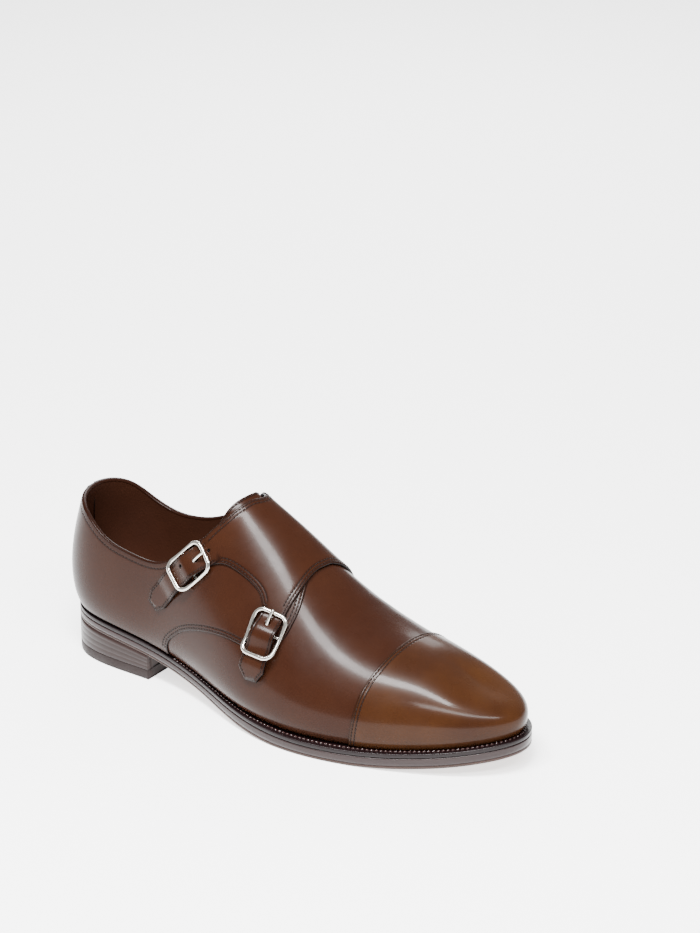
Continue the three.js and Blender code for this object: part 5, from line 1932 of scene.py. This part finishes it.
for name, strap in straps.items():
    path = rounded_path(BUCKLE_LENGTH, BUCKLE_WIDTH, BUCKLE_CORNER)
    wire = strap.place(path[:, 0], path[:, 1], frame_height(path[:, 0]))
    _, normals = on_last(*strap.spot(path[:, 0], path[:, 1]).T)
    frame_part = sweep(wire, WIRE, normals, closed=True, flat=WIRE_FLAT)
    w = np.linspace(-BUCKLE_WIDTH, BUCKLE_WIDTH, 24)
    bar_line = strap.place(0 * w, w, BAR_HEIGHT + 0 * w)
    bar_part = sweep(bar_line, BAR, np.tile(strap.up, (len(w), 1)), sides=12)
    points, faces = joined(frame_part, bar_part)
    finished("buckle_" + name, points, faces, nickel, ("buckle_" + name,), merge=False)
    prong_k = np.linspace(0, len(PRONG_PATH) - 1, PRONG_POINTS)
    prong_path = spline(range(len(PRONG_PATH)), PRONG_PATH)(prong_k)
    prong_line = strap.place(prong_path[:, 0], 0 * prong_path[:, 0], prong_path[:, 1])
    taper = PRONG_THICK - PRONG_TAPER * np.linspace(0, 1, PRONG_POINTS)
    taper[-len(PRONG_TIP) :] *= PRONG_TIP
    prong_part = sweep(prong_line, taper, np.tile(strap.up, (PRONG_POINTS, 1)), sides=12)
    eye_turn = np.linspace(0, 2 * math.pi, EYE_POINTS + 1)[:-1]
    eye_a, eye_h = EYE * np.cos(eye_turn), BAR_HEIGHT + EYE * np.sin(eye_turn)
    eye_line = strap.place(eye_a, 0 * eye_a, eye_h)
    eye_up = np.tile(strap.across, (EYE_POINTS, 1))
    eye_part = sweep(eye_line, EYE_WIRE, eye_up, sides=10, closed=True)
    points, faces = joined(prong_part, eye_part)
    finished("prong_" + name, points, faces, nickel, ("prong_" + name,), merge=False)

# %% [markdown]
# The two tabs that hold the buckles are almost hidden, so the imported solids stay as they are
# and only take the leather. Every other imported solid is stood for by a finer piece.

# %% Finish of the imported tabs
for name in ("buckle_tab_rear", "buckle_tab_front"):
    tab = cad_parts[name]
    tab.data.materials.clear()
    tab.data.materials.append(calf_strap)
    print(name, "wears", calf_strap.name)

# %% [markdown]
# A pale floor and soft lights, as for a shop picture. The two main lights are long and narrow, so
# their reflections run over the leather as soft bright bands that show its shape. The third,
# behind the shoe, is broad and weak and only keeps the inner side from going black.

# %% Floor and lights
FLOOR_HALF = 30.0  # metres
PAPER_WHITE = 0.9
PAPER_GLOW = 1.8  # so that the ground reads as nearly white
ROOM_LIGHT = 0.75
floor_mesh = bpy.data.meshes.new("floor")
floor_mesh.from_pydata(
    [(x * FLOOR_HALF, y * FLOOR_HALF, 0) for x, y in ((-1, -1), (1, -1), (1, 1), (-1, 1))],
    [],
    [(0, 1, 2, 3)],
)
floor = bpy.data.objects.new("floor", floor_mesh)
bpy.context.scene.collection.objects.link(floor)
paper = bpy.data.materials.new("paper")
paper.use_nodes = True
paper_shader = paper.node_tree.nodes["Principled BSDF"]
paper_shader.inputs["Base Color"].default_value = (PAPER_WHITE, PAPER_WHITE, PAPER_WHITE, 1)
paper_shader.inputs["Roughness"].default_value = 0.8
paper_shader.inputs["Emission Color"].default_value = (1, 1, 1, 1)
paper_shader.inputs["Emission Strength"].default_value = PAPER_GLOW
floor.data.materials.append(paper)

world = bpy.data.worlds.new("studio")
world.use_nodes = True
world.node_tree.nodes["Background"].inputs["Color"].default_value = (1, 1, 1, 1)
world.node_tree.nodes["Background"].inputs["Strength"].default_value = ROOM_LIGHT
bpy.context.scene.world = world


def softbox(name, place, toward, size, power):
    """A rectangular light facing a point; sizes and places in metres, power in watts."""
    data = bpy.data.lights.new(name, "AREA")
    data.shape = "RECTANGLE"
    data.size, data.size_y = size
    data.energy = power
    light = bpy.data.objects.new(name, data)
    bpy.context.scene.collection.objects.link(light)
    light.location = place
    light.rotation_mode = "QUATERNION"
    light.rotation_quaternion = (Vector(place) - Vector(toward)).to_track_quat("Z", "Y")


softbox("overhead", (0.05, -0.44, 1.24), (0, 0, 0.05), (0.75, 0.2), 60)
softbox("long_side", (0.62, -0.6, 0.98), (0.03, 0, 0.04), (1.1, 0.16), 24)
softbox("behind", (-0.6, 1.0, 0.7), (0, 0, 0.04), (0.7, 0.5), 12)
